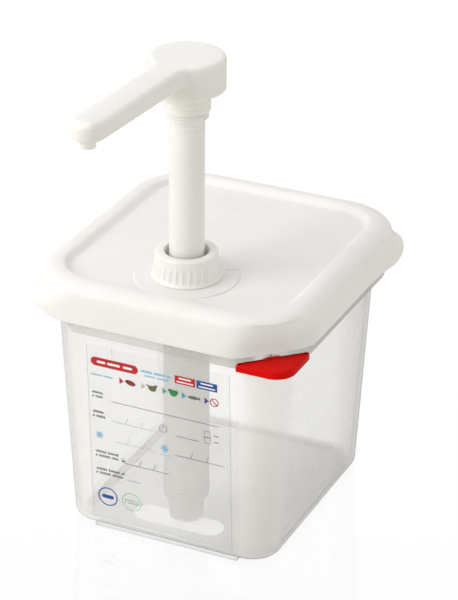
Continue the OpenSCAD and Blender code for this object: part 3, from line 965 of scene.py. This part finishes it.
def add_clip(look):
    """The red corner clip: a flat triangle with a round nose, pillowed on top, where it has a
    raised oval."""
    bm = bmesh.new()
    low, high = CLIP_LOW, CLIP_HIGH
    nose = 12.0
    leg = high.x - low.x
    centre = Vector((high.x - nose, low.y + nose))
    points = [(low.x + 0.3, low.y), *arc(centre, nose, 270, 360, 12), (high.x, low.y + leg - 0.3)]
    ring = [bm.verts.new((x, y, low.z)) for x, y in points]
    face = bm.faces.new(ring)
    raised = bmesh.ops.extrude_face_region(bm, geom=[face])
    top = [g for g in raised["geom"] if isinstance(g, bmesh.types.BMVert)]
    bmesh.ops.translate(bm, vec=(0, 0, high.z - low.z), verts=top)
    bmesh.ops.recalc_face_normals(bm, faces=bm.faces)
    tips = [e for e in bm.edges if abs(e.verts[0].co.z - e.verts[1].co.z) > 1 and e.calc_face_angle() > 1.5]
    bmesh.ops.bevel(bm, geom=tips, offset=1.3, affect="EDGES", segments=5, profile=0.5, material=-1)
    for height, offset in ((high.z, 1.7), (low.z, 0.5)):
        rim = [e for e in bm.edges if all(abs(v.co.z - height) < 0.01 for v in e.verts)]
        bmesh.ops.bevel(bm, geom=rim, offset=offset, affect="EDGES", segments=6, profile=0.5, material=-1)
    spot = Matrix.Translation((centre.x - 4.5, centre.y + 4.5, high.z - 0.25)) @ Matrix.Rotation(
        math.radians(45), 4, "Z"
    )
    for size, rise in (((5.0, 2.8), 0.5), ((3.7, 1.7), 0.8)):
        made = bmesh.ops.create_circle(
            bm, cap_ends=True, segments=32, radius=1, matrix=spot @ Matrix.Diagonal((*size, 1, 1))
        )
        faces = list({f for v in made["verts"] for f in v.link_faces})
        lifted = bmesh.ops.extrude_face_region(bm, geom=faces)
        badge = [g for g in lifted["geom"] if isinstance(g, bmesh.types.BMVert)]
        bmesh.ops.translate(bm, vec=(0, 0, rise), verts=badge)
    tag = finish_piece(bm, "colour_tag", "clip", [clip_polypropylene(look)], ["colour_clip"])
    # its colour doesn't spread over the white skirt above it
    tag.visible_diffuse = False


# ---- the lid ----


def lid_sections(lid):
    """The lid's rings, from its lower edge up over the rim and down to the panel, outside and in.
    Each is (inset from the skirt, height, tab corner radius, cut corner radius)."""
    base = LID_LOW.z
    crest = LID_HIGH.z
    panel = crest - lid.panel_drop / MM
    shoulder = lid.shoulder / MM
    outside = [
        (0.5, base, 19.6, 19.5),
        (0.0, base + 0.5, 20.2, 20.0),
        (0.05, base + 3, 21.2, 23.0),
        (0.2, base + 7, 24.0, 29.0),
        (0.4, base + 11, 28.0, 35.0),
        (0.7, base + 14.5, 31.5, 39.5),
    ]
    centre = (0.9 + shoulder, crest - shoulder)
    for i, (inset, height) in enumerate(arc(centre, shoulder, 172, 90, 9)):
        share = i / 9
        outside.append((inset, height, blend_value(33, 30, share), blend_value(41, 33, share)))
    crest_width = 2.2
    slope = [(0.0, 0.0), (0.17, 0.05), (0.34, 0.2), (0.5, 0.45), (0.66, 0.74), (0.82, 0.93), (1.0, 1.0)]
    start = centre[0] + crest_width
    run = lid.recess_inset / MM - start
    for along, down in slope:
        r = blend_value(28, 19, along)
        outside.append((start + run * along, crest - (crest - panel) * down, r, r + 4 * (1 - along)))
    outside.append((lid.recess_inset / MM + 1.0, panel, 17.8, 17.8))
    thick = lid.wall / MM
    inside = [
        (lid.recess_inset / MM + 1.6, panel - lid.panel_thickness / MM, 17, 17),
        (lid.recess_inset / MM - 1.5, panel - lid.panel_thickness / MM, 19, 19),
        (centre[0] + 1.0, crest - thick - 0.2, 26, 28),
        (centre[0] - 1.0, crest - thick - 0.4, 27, 30),
        (thick + 3.4, crest - 4.6, 29, 35),
        (thick + 1.2, crest - 9.4, 29, 37),
        (thick + 0.5, base + 11, 26, 33),
        (thick + 0.1, base + 7, 22, 27),
        (thick, base + 3, 19.4, 21),
        (thick, base + 0.5, 18.6, 18),
        (thick - 0.5, base, 18.8, 18.6),
    ]
    return outside, inside


def lid_shape(lid):
    """How the lid's two corner kinds bend its rings: lift tabs, and corners cut at their foot."""
    base = LID_LOW.z
    low_cut = cut_limit() + 2.2
    soft = 5.0

    def shape(point, _):
        height = point.z - base
        # cut corners lean out from their straight foot to the round shoulder
        limit = low_cut + lid.cut_lean / MM * smooth_step(0, 18, height)
        across = abs(point.x - point.y)
        if point.x * point.y < 0 and height < 20 and across > limit - soft:
            eased = limit - soft * math.exp(-(across - limit + soft) / soft)
            cut_at(point, eased)
        # tabs stand out at the side, and their lip rises above the skirt's edge
        along = abs(point.x + point.y)
        near = smooth_step(118, 150, along)
        fade = 1 - smooth_step(5, 13, height)
        point.x += math.copysign(lid.tab_flare / MM, point.x) * near * fade
        point.y -= math.copysign(1.8, point.y) * smooth_step(140, 156, along) * fade
        lip = smooth_step(148, 163, along) * (1 - smooth_step(2, 12, height))
        point.z += lid.tab_rise / MM * lip
        return point

    return shape


def add_lid(lid, look):
    """The lid: skirt, rim, recessed panel with the pump's hole, lift tabs, the wall that plugs the pan, and a raised
    ring and small mark round the pump.
    """
    bm = bmesh.new()
    half = (LID_HIGH.x, LID_HIGH.y)
    outside, inside = lid_sections(lid)

    def ring(row):
        inset, height, tab_r, cut_r = row
        return (half[0] - inset, half[1] - inset), (tab_r, cut_r), height

    shape = lid_shape(lid)
    first, top_ring = loft(bm, [ring(row) for row in outside], shape)
    hole_r = 16.9
    top_hole = fill_round_hole(bm, top_ring, hole_r, outside[-1][1])
    under_ring, last = loft(bm, [ring(row) for row in inside], shape)
    under_hole = fill_round_hole(bm, under_ring, hole_r, inside[0][1])
    bmesh.ops.bridge_loops(bm, edges=top_hole + under_hole)
    bmesh.ops.bridge_loops(bm, edges=first + last)
    bmesh.ops.recalc_face_normals(bm, faces=bm.faces)
    # wall that plugs the pan, under the panel
    plug = (70.4, 77.4)
    rows = [(0, 157.5), (0, 144.6), (0.5, 144), (1.2, 144), (1.7, 144.6), (1.7, 157.5)]
    first, last = loft(
        bm, [((plug[0] - d, plug[1] - d), (20.5 - d, 20.5 - d), z) for d, z in rows]
    )
    bmesh.ops.bridge_loops(bm, edges=first + last)
    # raised ring round the pump, and the small mark beside it
    panel = outside[-1][1]
    ring_r = lid.ring_radius / MM
    rise = 0.7
    profile = [(hole_r, panel - 0.6)]
    profile += [(ring_r, panel - 0.6)]
    profile += [(x, z) for x, z in arc((ring_r - 0.7, panel), rise, 0, 90, 4)]
    profile += [(ring_r - 2.2, panel + rise), (hole_r, panel + rise)]
    spin_profile(bm, profile, PUMP_AXIS, 128)
    turn = Matrix.Translation((PUMP_AXIS.x, PUMP_AXIS.y, 0)) @ Matrix.Rotation(math.radians(40), 4, "Z")
    rounded_box(bm, (23.5, -0.8, panel + 0.2), (30.6, 0.8, panel + 1.15), 0.35, turn)
    finish_piece(bm, "lid_shell", "lid_set", [lid_polyethylene(look)], ["lid"])


# ---- the pump above the lid ----


def add_collar(pump, look):
    """The collar nut: a round base, a fluted cone and a smooth lip turned in at the top."""
    bm = bmesh.new()
    base, top = COLLAR_LOW.z, COLLAR_HIGH.z
    foot_r = COLLAR_HIGH.x - PUMP_AXIS.x
    cone_r, neck_r = 19.2, pump.collar_radius / MM
    mouth = 12.7
    profile = [(17.0, base), (foot_r - 0.5, base)]
    profile += arc((foot_r - 0.7, base + 0.7), 0.7, -60, 60, 4)
    profile += [(foot_r - 0.6, base + 1.6), (cone_r + 0.2, base + 2.1)]
    fluted = [blend_value(base + 2.3, top - 5.4, i / 8) for i in range(9)]
    profile += [(blend_value(cone_r, neck_r + 0.25, i / 8), z) for i, z in enumerate(fluted)]
    profile += [(neck_r + 0.1, top - 4.6)]
    profile += arc((neck_r - 1.6, top - 1.6), 1.6, 0, 90, 6)
    profile += [(mouth + 1.2, top)]
    profile += arc((mouth + 0.8, top - 0.8), 0.8, 90, 180, 4)
    profile += [(mouth, top - 1.9), (17.0, top - 1.9)]
    steps = pump.flutes * 8
    spin_profile(bm, profile, PUMP_AXIS, steps)
    for v in bm.verts:
        out = Vector((v.co.x - PUMP_AXIS.x, v.co.y - PUMP_AXIS.y))
        if out.length > 17.4 and fluted[0] - 0.1 < v.co.z < fluted[-1] + 0.1:
            depth = 0.55 * math.sin(math.pi * (v.co.z - fluted[0] + 0.4) / (fluted[-1] - fluted[0] + 0.8)) ** 0.3
            wave = max(0.0, math.cos(pump.flutes * math.atan2(out.y, out.x))) ** 0.8
            out *= 1 + depth * (wave - 0.35) / out.length
            v.co.x, v.co.y = PUMP_AXIS.x + out.x, PUMP_AXIS.y + out.y
    finish_piece(bm, "collar", "collar", [pump_polypropylene(look)], ["collar_nut"], 50)


def add_stem(pump, look):
    """The stem: a plain tube with two fine grooves below the spigot and a soft lower end."""
    bm = bmesh.new()
    radius = STEM_HIGH.x - PUMP_AXIS.x
    bore = radius - 2.2
    low, high = STEM_LOW.z, STEM_HIGH.z
    groove = 0.35
    profile = [(bore, low), (radius - 0.5, low), (radius, low + 0.5)]
    for z in (252.4, 255.4):
        profile += [(radius, z), (radius - groove, z + 0.25), (radius - groove, z + 0.6), (radius, z + 0.85)]
    profile += [(radius, high), (bore, high)]
    spin_profile(bm, profile, PUMP_AXIS)
    finish_piece(bm, "plunger_stem", "head", [pump_polypropylene(look)], ["stem"])


def head_outline(pump):
    """The head and arm from above: a circle, a hollow blend at each side of the arm, and a round end.
    The arm points along -Y before the spout is turned. Also returns how many points are on the circle."""
    head_r = HEAD_HIGH.x - PUMP_AXIS.x
    arm_r = pump.arm_radius / MM
    blend_r = pump.blend_radius / MM
    reach = (NOZZLE_AXIS - PUMP_AXIS).to_2d().length
    side = arm_r + blend_r
    back = math.sqrt((head_r + blend_r) ** 2 - side**2)
    open_angle = math.degrees(math.asin(side / (head_r + blend_r)))
    circle = arc((0, 0), head_r, -90 + open_angle, 270 - open_angle, 56)
    left_blend = arc((-side, -back), blend_r, 90 - open_angle, 0, 8)[1:]
    end = arc((0, -reach), arm_r, 180, 360, 24)
    right_blend = arc((side, -back), blend_r, 180, 90 + open_angle, 8)[:-1]
    return circle, left_blend + end + right_blend


def add_head(pump, look):
    """The press head: a thick disc with the spout arm, and the threaded spigot below."""
    bm = bmesh.new()
    low, high = HEAD_LOW.z, HEAD_HIGH.z
    arm_low = high - pump.arm_depth / MM
    disc_low = high - pump.head_depth / MM
    head_r = HEAD_HIGH.x - PUMP_AXIS.x
    circle, rest = head_outline(pump)
    ring = [bm.verts.new((x, y, arm_low)) for x, y in circle + rest]
    bottom = bm.faces.new(ring)
    raised = bmesh.ops.extrude_face_region(bm, geom=[bottom])
    top = [g for g in raised["geom"] if isinstance(g, bmesh.types.BMVert)]
    bmesh.ops.translate(bm, vec=(0, 0, high - arm_low), verts=top)
    bmesh.ops.recalc_face_normals(bm, faces=bm.faces)
    bmesh.ops.bevel(
        bm,
        geom=[e for e in bm.edges if all(v.co.z > high - 0.01 for v in e.verts)],
        offset=pump.edge_radius / MM,
        affect="EDGES",
        segments=8,
        profile=0.5,
        material=-1,
    )
    bmesh.ops.bevel(
        bm,
        geom=[
            e
            for e in bm.edges
            if all(v.co.z < arm_low + 0.01 and v.co.y < -head_r for v in e.verts)
        ],
        offset=1.0,
        affect="EDGES",
        segments=4,
        profile=0.5,
        material=-1,
    )
    # inner rings on top, so that the arm can be crowned
    lid_face = max(bm.faces, key=lambda f: f.calc_center_median().z * 1000 + f.calc_area())
    for step in (1.2, 1.6, 1.6):
        bmesh.ops.inset_region(bm, faces=[lid_face], thickness=step, use_even_offset=True)
    for v in bm.verts:
        out = smooth_step(head_r * 0.9, head_r * 1.6, -v.co.y)
        across = min(1.0, abs(v.co.x) / (pump.arm_radius / MM))
        end = smooth_step(0, 10, -v.co.y - (NOZZLE_AXIS - PUMP_AXIS).to_2d().length)
        if v.co.z > high - 6:
            v.co.z -= out * pump.crown / MM * max(across**2, end**2)
    # the disc's lower part, a hair inside the arm's level
    side = [(0.001, disc_low)]
    side += arc((head_r - 0.8, disc_low + 0.8), 0.8, -90, 0, 4)
    side += [(head_r, arm_low), (head_r - 0.6, arm_low + 0.6), (0.001, arm_low + 0.6)]
    spin_profile(bm, side, (0, 0), 96)
    # spigot and its thread
    root = 11.4
    spigot = [
        (10.02, low),
        (root - 0.5, low),
        (root, low + 0.5),
        (root, low + 4.6),
        (13.2, low + 5.4),
        (13.2, low + 8.2),
        (12.9, low + 8.5),
        (12.9, low + 8.9),
        (13.3, low + 9.2),
        (13.3, low + 11.6),
        (13.0, low + 11.9),
        (13.0, low + 12.3),
        (13.6, low + 12.6),
        (13.6, disc_low + 0.4),
        (10.02, disc_low + 0.4),
    ]
    spin_profile(bm, spigot, (0, 0), 96)
    helix_ridge(bm, (0, 0), root, 12.2, low + 1.2, 2.6, 1.35)
    reach = (NOZZLE_AXIS - PUMP_AXIS).to_2d()
    turn = math.atan2(reach.x, -reach.y)
    spot = Matrix.Translation((PUMP_AXIS.x, PUMP_AXIS.y, 0)) @ Matrix.Rotation(turn, 4, "Z")
    bmesh.ops.transform(bm, matrix=spot, verts=bm.verts)
    finish_piece(bm, "press_head_shell", "head", [pump_polypropylene(look)], ["press_head"], 40)


def add_nozzle(pump, look):
    """The nozzle: a short tube under the arm's end with a soft outer edge."""
    bm = bmesh.new()
    low, high = NOZZLE_LOW.z, NOZZLE_HIGH.z
    radius = (NOZZLE_HIGH.x - NOZZLE_LOW.x) / 2
    bore = radius - 1.5
    profile = [(bore, low + 0.2), (bore + 0.2, low), (radius - 0.6, low)]
    profile += arc((radius - 0.6, low + 0.6), 0.6, -60, 0, 3)
    profile += [(radius, high), (bore, high)]
    spin_profile(bm, profile, NOZZLE_AXIS, 48)
    finish_piece(bm, "nozzle", "head", [pump_polypropylene(look)], ["nozzle_tip"])


# ---- the pump inside the pan ----


def add_barrel(pump, look):
    """The barrel: a thin tube with a bead at its foot, its flange and the threaded neck."""
    bm = bmesh.new()
    low, high = BARREL_LOW.z, BARREL_HIGH.z
    radius = pump.barrel_radius / MM
    bore = radius - 1.6
    flange = BARREL_HIGH.x - PUMP_AXIS.x
    flange_top = 157.7
    neck = 15.5
    profile = [(bore, low), (radius + 0.2, low), (radius + 0.5, low + 0.3)]
    profile += [(radius + 0.5, low + 1.6), (radius, low + 2.2), (radius, low + 2.8)]
    profile += [(radius + 0.5, low + 3.2), (radius + 0.5, low + 4.6), (radius, low + 5.2)]
    profile += [(radius, flange_top - 3.2), (radius + 1.0, flange_top - 2.2)]
    profile += [(flange - 0.4, flange_top - 2.2), (flange, flange_top - 1.8), (flange, flange_top - 0.4)]
    profile += [(flange - 0.4, flange_top), (neck, flange_top), (neck, high - 0.5), (neck - 0.5, high)]
    profile += [(13.92, high), (13.92, 160.4), (bore, 160.4)]
    spin_profile(bm, profile, PUMP_AXIS)
    helix_ridge(bm, PUMP_AXIS, neck, 16.3, 165.6, 3.2, 2.2)
    finish_piece(bm, "barrel", "lid_set", [barrel_polypropylene(look)], ["pump_barrel"])


def add_spring(pump, look):
    """The return spring: a helix of round wire."""
    bm = bmesh.new()
    wire = pump.wire_radius / MM
    coil = (SPRING_HIGH.x - SPRING_LOW.x) / 2 - wire
    low, high = SPRING_LOW.z + wire, SPRING_HIGH.z - wire
    turns, steps = 13, 36
    spot = Matrix.Translation((PUMP_AXIS.x + coil, PUMP_AXIS.y, low)) @ Matrix.Rotation(math.pi / 2, 4, "X")
    made = bmesh.ops.create_circle(bm, segments=12, radius=wire, matrix=spot)
    edges = list({e for v in made["verts"] for e in v.link_edges})
    bmesh.ops.spin(
        bm,
        geom=made["verts"] + edges,
        cent=(PUMP_AXIS.x, PUMP_AXIS.y, 0),
        axis=(0, 0, 1),
        dvec=(0, 0, (high - low) / (turns * steps)),
        angle=math.tau * turns,
        steps=turns * steps,
        use_merge=False,
        use_duplicate=False,
    )
    # close both ends of the wire
    bmesh.ops.holes_fill(bm, edges=[e for e in bm.edges if e.is_boundary], sides=0)
    piece = finish_piece(
        bm, "spring", "lid_set", [steel("drawn stainless wire", 0.6, 0.26)], ["return_spring"]
    )
    press = joint("press")
    travel = max(abs(limit) for limit in press["range_m"])
    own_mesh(piece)


def dress_inner_parts(look):
    """Gives the guides, valves, seals and balls, which keep their CAD shapes, their materials."""
    white = pump_polypropylene(look)
    ivory = ivory_acetal(look)
    rubber = seal_silicone(look)
    ball = steel("ground stainless ball", 0.9, 0.16)
    finishes = {
        "guide_bush": white,
        "piston": ivory,
        "ball_retainer": ivory,
        "foot_valve": barrel_polypropylene(look),
        "discharge_cage": white,
        "neck_gasket": rubber,
        "stem_wiper": rubber,
        "foot_seal": rubber,
        "piston_ring_upper": rubber,
        "piston_ring_lower": rubber,
        "discharge_ball": ball,
        "suction_ball": ball,
    }
    for node, material in finishes.items():
        slots = frame["nodes"][node].data.materials
        slots.clear()
        slots.append(material)


# ---- the stage ----


def add_floor(stage):
    """A glossy white floor: it looks white to the camera and mirrors the pan faintly, and it
    gives back only the light that falls on it."""
    bm = bmesh.new()
    bmesh.ops.create_grid(bm, x_segments=1, y_segments=1, size=6.0)
    mesh = bpy.data.meshes.new("floor")
    bm.to_mesh(mesh)
    bm.free()
    material, tree, surface = new_material("white gloss table")
    seen = add_node(
        tree,
        "ShaderNodeBsdfPrincipled",
        {
            "Base Color": (0, 0, 0, 1),
            "Roughness": 0.05,
            "IOR": 1.5,
            "Emission Color": (1, 1, 1, 1),
            "Emission Strength": stage.floor_white,
        },
    )
    given = add_node(tree, "ShaderNodeBsdfDiffuse", {"Color": (*stage.floor_colour, 1)})
    path = add_node(tree, "ShaderNodeLightPath")
    mix = add_node(
        tree,
        "ShaderNodeMixShader",
        {0: path.outputs["Is Camera Ray"], 1: given.outputs["BSDF"], 2: seen.outputs["BSDF"]},
    )
    tree.links.new(mix.outputs["Shader"], surface)
    mesh.materials.append(material)
    floor = bpy.data.objects.new("floor", mesh)
    bpy.context.scene.collection.objects.link(floor)


def add_light(name, place, aim, size, power, tint):
    """A soft rectangular light that looks at a point."""
    data = bpy.data.lights.new(name, "AREA")
    data.shape = "RECTANGLE"
    data.size, data.size_y = size
    data.energy = power
    data.color = tint
    light = bpy.data.objects.new(name, data)
    light.location = place
    light.rotation_euler = (Vector(aim) - Vector(place)).to_track_quat("-Z", "Y").to_euler()
    bpy.context.scene.collection.objects.link(light)


def add_world(stage):
    """Plain white surroundings, which look whiter than the light that they give."""
    world = bpy.data.worlds.new("white studio")
    world.use_nodes = True
    tree = world.node_tree
    tree.nodes.clear()
    seen = add_node(tree, "ShaderNodeBackground", {"Color": (1, 1, 1, 1), "Strength": 1.0})
    given = add_node(
        tree, "ShaderNodeBackground", {"Color": (*stage.sky_colour, 1), "Strength": stage.sky_strength}
    )
    path = add_node(tree, "ShaderNodeLightPath")
    mix = add_node(
        tree,
        "ShaderNodeMixShader",
        {0: path.outputs["Is Diffuse Ray"], 1: seen.outputs["Background"], 2: given.outputs["Background"]},
    )
    add_node(tree, "ShaderNodeOutputWorld", {"Surface": mix.outputs["Shader"]})
    bpy.context.scene.world = world


def add_camera(stage):
    """The camera, from its place, heading, tilt and roll."""
    data = bpy.data.cameras.new("camera")
    data.lens = stage.lens
    data.sensor_width = 36
    camera = bpy.data.objects.new("camera", data)
    yaw, pitch, roll = stage.camera_yaw, stage.camera_pitch, stage.camera_roll
    forward = Vector(
        (-math.sin(yaw) * math.cos(pitch), math.cos(yaw) * math.cos(pitch), -math.sin(pitch))
    )
    level = Vector((math.cos(yaw), math.sin(yaw), 0))
    above = level.cross(forward)
    right = level * math.cos(roll) + above * math.sin(roll)
    up = above * math.cos(roll) - level * math.sin(roll)
    camera.matrix_world = Matrix.Translation(stage.camera_place) @ Matrix((right, up, -forward)).transposed().to_4x4()
    bpy.context.scene.collection.objects.link(camera)
    bpy.context.scene.camera = camera


# ---- settings ----


def length(name, description, default):
    """A length setting in metres."""
    return bpy.props.FloatProperty(
        name=name, description=description, default=default, min=0, unit="LENGTH", precision=4
    )


def colour(name, description, hex_code):
    """A colour setting from its sRGB hex value."""
    return bpy.props.FloatVectorProperty(
        name=name, description=description, default=linear(hex_code), min=0, max=1, subtype="COLOR"
    )


class PanSettings(bpy.types.PropertyGroup):
    """Sizes of the pan that the frame's box doesn't give."""

    overhang: length("Flange overhang", "How far the flange stands out from the wall", 0.0081)
    taper: length("Taper", "How much wider each side is at the flange than at the foot", 0.0074)
    wall: length("Wall", "Thickness of the wall", 0.002)
    foot_radius: length("Foot corner", "Corner radius at the foot", 0.018)
    top_radius: length("Top corner", "Corner radius below the flange", 0.023)
    flange_radius: length("Flange corner", "Corner radius of the flange", 0.03)
    flange_drop: length("Flange drop", "Depth of the turned-down edge", 0.0155)
    strip_x: length("Strip half length, X", "Half length of the front and back foot strips", 0.046)
    strip_y: length("Strip half length, Y", "Half length of the side foot strips", 0.054)


class LidSettings(bpy.types.PropertyGroup):
    """Sizes of the lid that the frame's box doesn't give."""

    wall: length("Wall", "Thickness of the skirt and rim", 0.0017)
    shoulder: length("Shoulder", "Radius of the rim's outer shoulder", 0.0085)
    recess_inset: length("Recess inset", "From the skirt to the edge of the panel", 0.0174)
    panel_drop: length("Panel drop", "Depth of the panel below the rim", 0.0036)
    panel_thickness: length("Panel thickness", "Thickness of the panel", 0.0022)
    cut_lean: length("Cut corner lean", "How far a cut corner leans out above its foot", 0.005)
    tab_flare: length("Tab flare", "How far a lift tab stands out from the skirt", 0.003)
    tab_rise: length("Tab rise", "How far a tab's lip lies above the skirt's edge", 0.0055)
    ring_radius: length("Ring radius", "Radius of the raised ring round the pump", 0.0302)


class PumpSettings(bpy.types.PropertyGroup):
    """Sizes of the pump that the frame's boxes don't give."""

    collar_radius: length("Collar radius", "Radius of the collar's upper band", 0.018)
    flutes: bpy.props.IntProperty(
        name="Flutes", description="Number of grip ribs round the collar", default=30, min=8, max=60
    )
    arm_radius: length("Arm radius", "Half width of the spout arm and radius of its end", 0.0093)
    arm_depth: length("Arm depth", "Height of the spout arm", 0.0108)
    head_depth: length("Head depth", "Height of the press disc", 0.0195)
    blend_radius: length("Blend radius", "Radius of the hollow where arm and disc meet", 0.009)
    edge_radius: length("Edge radius", "Rounding of the head's upper edge", 0.0028)
    crown: length("Crown", "How far the arm's edges fall below its crown", 0.0016)
    barrel_radius: length("Barrel radius", "Outer radius of the barrel", 0.01325)
    wire_radius: length("Wire radius", "Radius of the spring's wire", 0.00075)


class LookSettings(bpy.types.PropertyGroup):
    """Colours of the finishes."""

    pan_colour: colour("Pan", "Natural polypropylene of the pan", "faf7f4")
    pan_edge: colour("Pan edge", "The pan's plastic where the eye passes along it", "bec1c6")
    # Painted shade: this floor colour also dresses the flange, as shade under the lid's skirt.
    pan_floor_and_shade: colour("Pan floor", "Textured plastic of the pan's floor, and painted shade on its flange", "d6d3cd")
    pan_haze: bpy.props.FloatProperty(
        name="Pan haze", description="How solid each face of the pan's wall looks", default=0.17, min=0, max=1
    )
    lid_colour: colour("Lid", "Polyethylene of the lid", "f5f2f0")
    pump_colour: colour("Pump", "White polypropylene of the pump", "f4f3ef")
    clip_colour: colour("Clip", "Red polypropylene of the clip", "e80a06")
    guide_colour: colour("Guides", "Acetal of the bush and piston", "efe9d8")
    seal_colour: colour("Seals", "Silicone of the seals", "bcbcb8")
    barrel_colour: colour("Barrel", "Natural polypropylene of the barrel", "e8e7e4")


class StageSettings(bpy.types.PropertyGroup):
    """The camera and the surroundings."""

    camera_place: bpy.props.FloatVectorProperty(
        name="Camera place",
        description="Where the camera stands",
        default=(0.562, -1.2108, 0.798),
        subtype="TRANSLATION",
        unit="LENGTH",
    )
    camera_yaw: bpy.props.FloatProperty(
        name="Camera heading", description="Turn from the view along +Y", default=math.radians(24.658), unit="ROTATION"
    )
    camera_pitch: bpy.props.FloatProperty(
        name="Camera tilt", description="How far the camera looks down", default=math.radians(26.721), unit="ROTATION"
    )
    camera_roll: bpy.props.FloatProperty(
        name="Camera roll", description="Roll of the camera", default=math.radians(0.574), unit="ROTATION"
    )
    lens: bpy.props.FloatProperty(
        name="Lens", description="Focal length in millimetres", default=153.4, min=10, max=400
    )
    floor_colour: colour("Floor", "Colour of the table", "e9e7e0")
    floor_white: bpy.props.FloatProperty(
        name="Floor white", description="How white the table looks without its shine", default=0.915, min=0, max=3
    )
    sky_colour: colour("Sky", "Colour of the light all round", "fffefc")
    sky_strength: bpy.props.FloatProperty(
        name="Sky strength", description="Strength of the light all round", default=0.52, min=0, max=5
    )
    key_power: bpy.props.FloatProperty(
        name="Key power", description="Watts of the large light at the left", default=17, min=0, max=500
    )
    top_power: bpy.props.FloatProperty(
        name="Top power", description="Watts of the light above", default=6.5, min=0, max=500
    )
    fill_power: bpy.props.FloatProperty(
        name="Fill power", description="Watts of the weak light at the right", default=2.6, min=0, max=500
    )


class DispenserSettings(bpy.types.PropertyGroup):
    """All settings of the dispenser."""

    pan: bpy.props.PointerProperty(type=PanSettings, name="Pan", description="Sizes of the pan")
    lid: bpy.props.PointerProperty(type=LidSettings, name="Lid", description="Sizes of the lid")
    pump: bpy.props.PointerProperty(type=PumpSettings, name="Pump", description="Sizes of the pump")
    look: bpy.props.PointerProperty(type=LookSettings, name="Finishes", description="Colours of the finishes")
    stage: bpy.props.PointerProperty(type=StageSettings, name="Stage", description="Camera and surroundings")


# ---- operators ----


class DISPENSER_OT_add_stage(bpy.types.Operator):
    """Adds the floor, the lights and the camera"""

    bl_idname = "dispenser.add_stage"
    bl_label = "Stage"

    def execute(self, context):
        stage = context.scene.dispenser.stage
        add_camera(stage)
        add_floor(stage)
        add_world(stage)
        middle = (0, 0, 0.14)
        add_light("key", (-1.0, -1.2, 1.0), middle, (1.2, 1.2), stage.key_power, (1, 1, 1))
        add_light("top", (-0.3, 0.1, 1.6), middle, (1.6, 1.6), stage.top_power, (1, 1, 1))
        add_light("fill", (1.3, 0.2, 0.3), (0, 0, 0.1), (0.9, 0.5), stage.fill_power, (1, 0.99, 0.97))
        context.scene.view_settings.view_transform = "Standard"
        context.scene.cycles.transparent_max_bounces = 32
        return {"FINISHED"}


class DISPENSER_OT_add_pan(bpy.types.Operator):
    """Adds the pan"""

    bl_idname = "dispenser.add_pan"
    bl_label = "Pan"

    def execute(self, context):
        settings = context.scene.dispenser
        add_pan(settings.pan, settings.look)
        return {"FINISHED"}


class DISPENSER_OT_add_label(bpy.types.Operator):
    """Adds the printed film on the pan's front"""

    bl_idname = "dispenser.add_label"
    bl_label = "Label"

    def execute(self, context):
        settings = context.scene.dispenser
        add_label(settings.pan, settings.look)
        return {"FINISHED"}


class DISPENSER_OT_add_clip(bpy.types.Operator):
    """Adds the red corner clip"""

    bl_idname = "dispenser.add_clip"
    bl_label = "Clip"

    def execute(self, context):
        add_clip(context.scene.dispenser.look)
        return {"FINISHED"}


class DISPENSER_OT_add_lid(bpy.types.Operator):
    """Adds the lid"""

    bl_idname = "dispenser.add_lid"
    bl_label = "Lid"

    def execute(self, context):
        settings = context.scene.dispenser
        add_lid(settings.lid, settings.look)
        return {"FINISHED"}


class DISPENSER_OT_add_plunger(bpy.types.Operator):
    """Adds the collar, the stem, the press head and the nozzle"""

    bl_idname = "dispenser.add_plunger"
    bl_label = "Collar, stem and head"

    def execute(self, context):
        settings = context.scene.dispenser
        for add in (add_collar, add_stem, add_head, add_nozzle):
            add(settings.pump, settings.look)
        return {"FINISHED"}


class DISPENSER_OT_add_barrel(bpy.types.Operator):
    """Adds the barrel and the spring, and finishes the parts inside them"""

    bl_idname = "dispenser.add_barrel"
    bl_label = "Barrel and inner parts"

    def execute(self, context):
        settings = context.scene.dispenser
        add_barrel(settings.pump, settings.look)
        add_spring(settings.pump, settings.look)
        dress_inner_parts(settings.look)
        return {"FINISHED"}


OPERATORS = (
    DISPENSER_OT_add_stage,
    DISPENSER_OT_add_pan,
    DISPENSER_OT_add_label,
    DISPENSER_OT_add_clip,
    DISPENSER_OT_add_lid,
    DISPENSER_OT_add_plunger,
    DISPENSER_OT_add_barrel,
)


class DISPENSER_PT_panel(bpy.types.Panel):
    """Lists the pieces in the sidebar"""

    bl_idname = "DISPENSER_PT_panel"
    bl_label = "Condiment pump dispenser"
    bl_space_type = "VIEW_3D"
    bl_region_type = "UI"
    bl_category = "Dispenser"

    def draw(self, context):
        column = self.layout.column()
        for operator in OPERATORS:
            column.operator(operator.bl_idname)


CLASSES = (
    PanSettings,
    LidSettings,
    PumpSettings,
    LookSettings,
    StageSettings,
    DispenserSettings,
    *OPERATORS,
    DISPENSER_PT_panel,
)


def register():
    for cls in CLASSES:
        bpy.utils.register_class(cls)
    bpy.types.Scene.dispenser = bpy.props.PointerProperty(type=DispenserSettings)


def unregister():
    del bpy.types.Scene.dispenser
    for cls in reversed(CLASSES):
        bpy.utils.unregister_class(cls)


def main():
    """Makes the whole dispenser."""
    register()
    bpy.ops.dispenser.add_stage()
    bpy.ops.dispenser.add_pan()
    bpy.ops.dispenser.add_label()
    bpy.ops.dispenser.add_clip()
    bpy.ops.dispenser.add_lid()
    bpy.ops.dispenser.add_plunger()
    bpy.ops.dispenser.add_barrel()


if __name__ == "__main__":
    main()
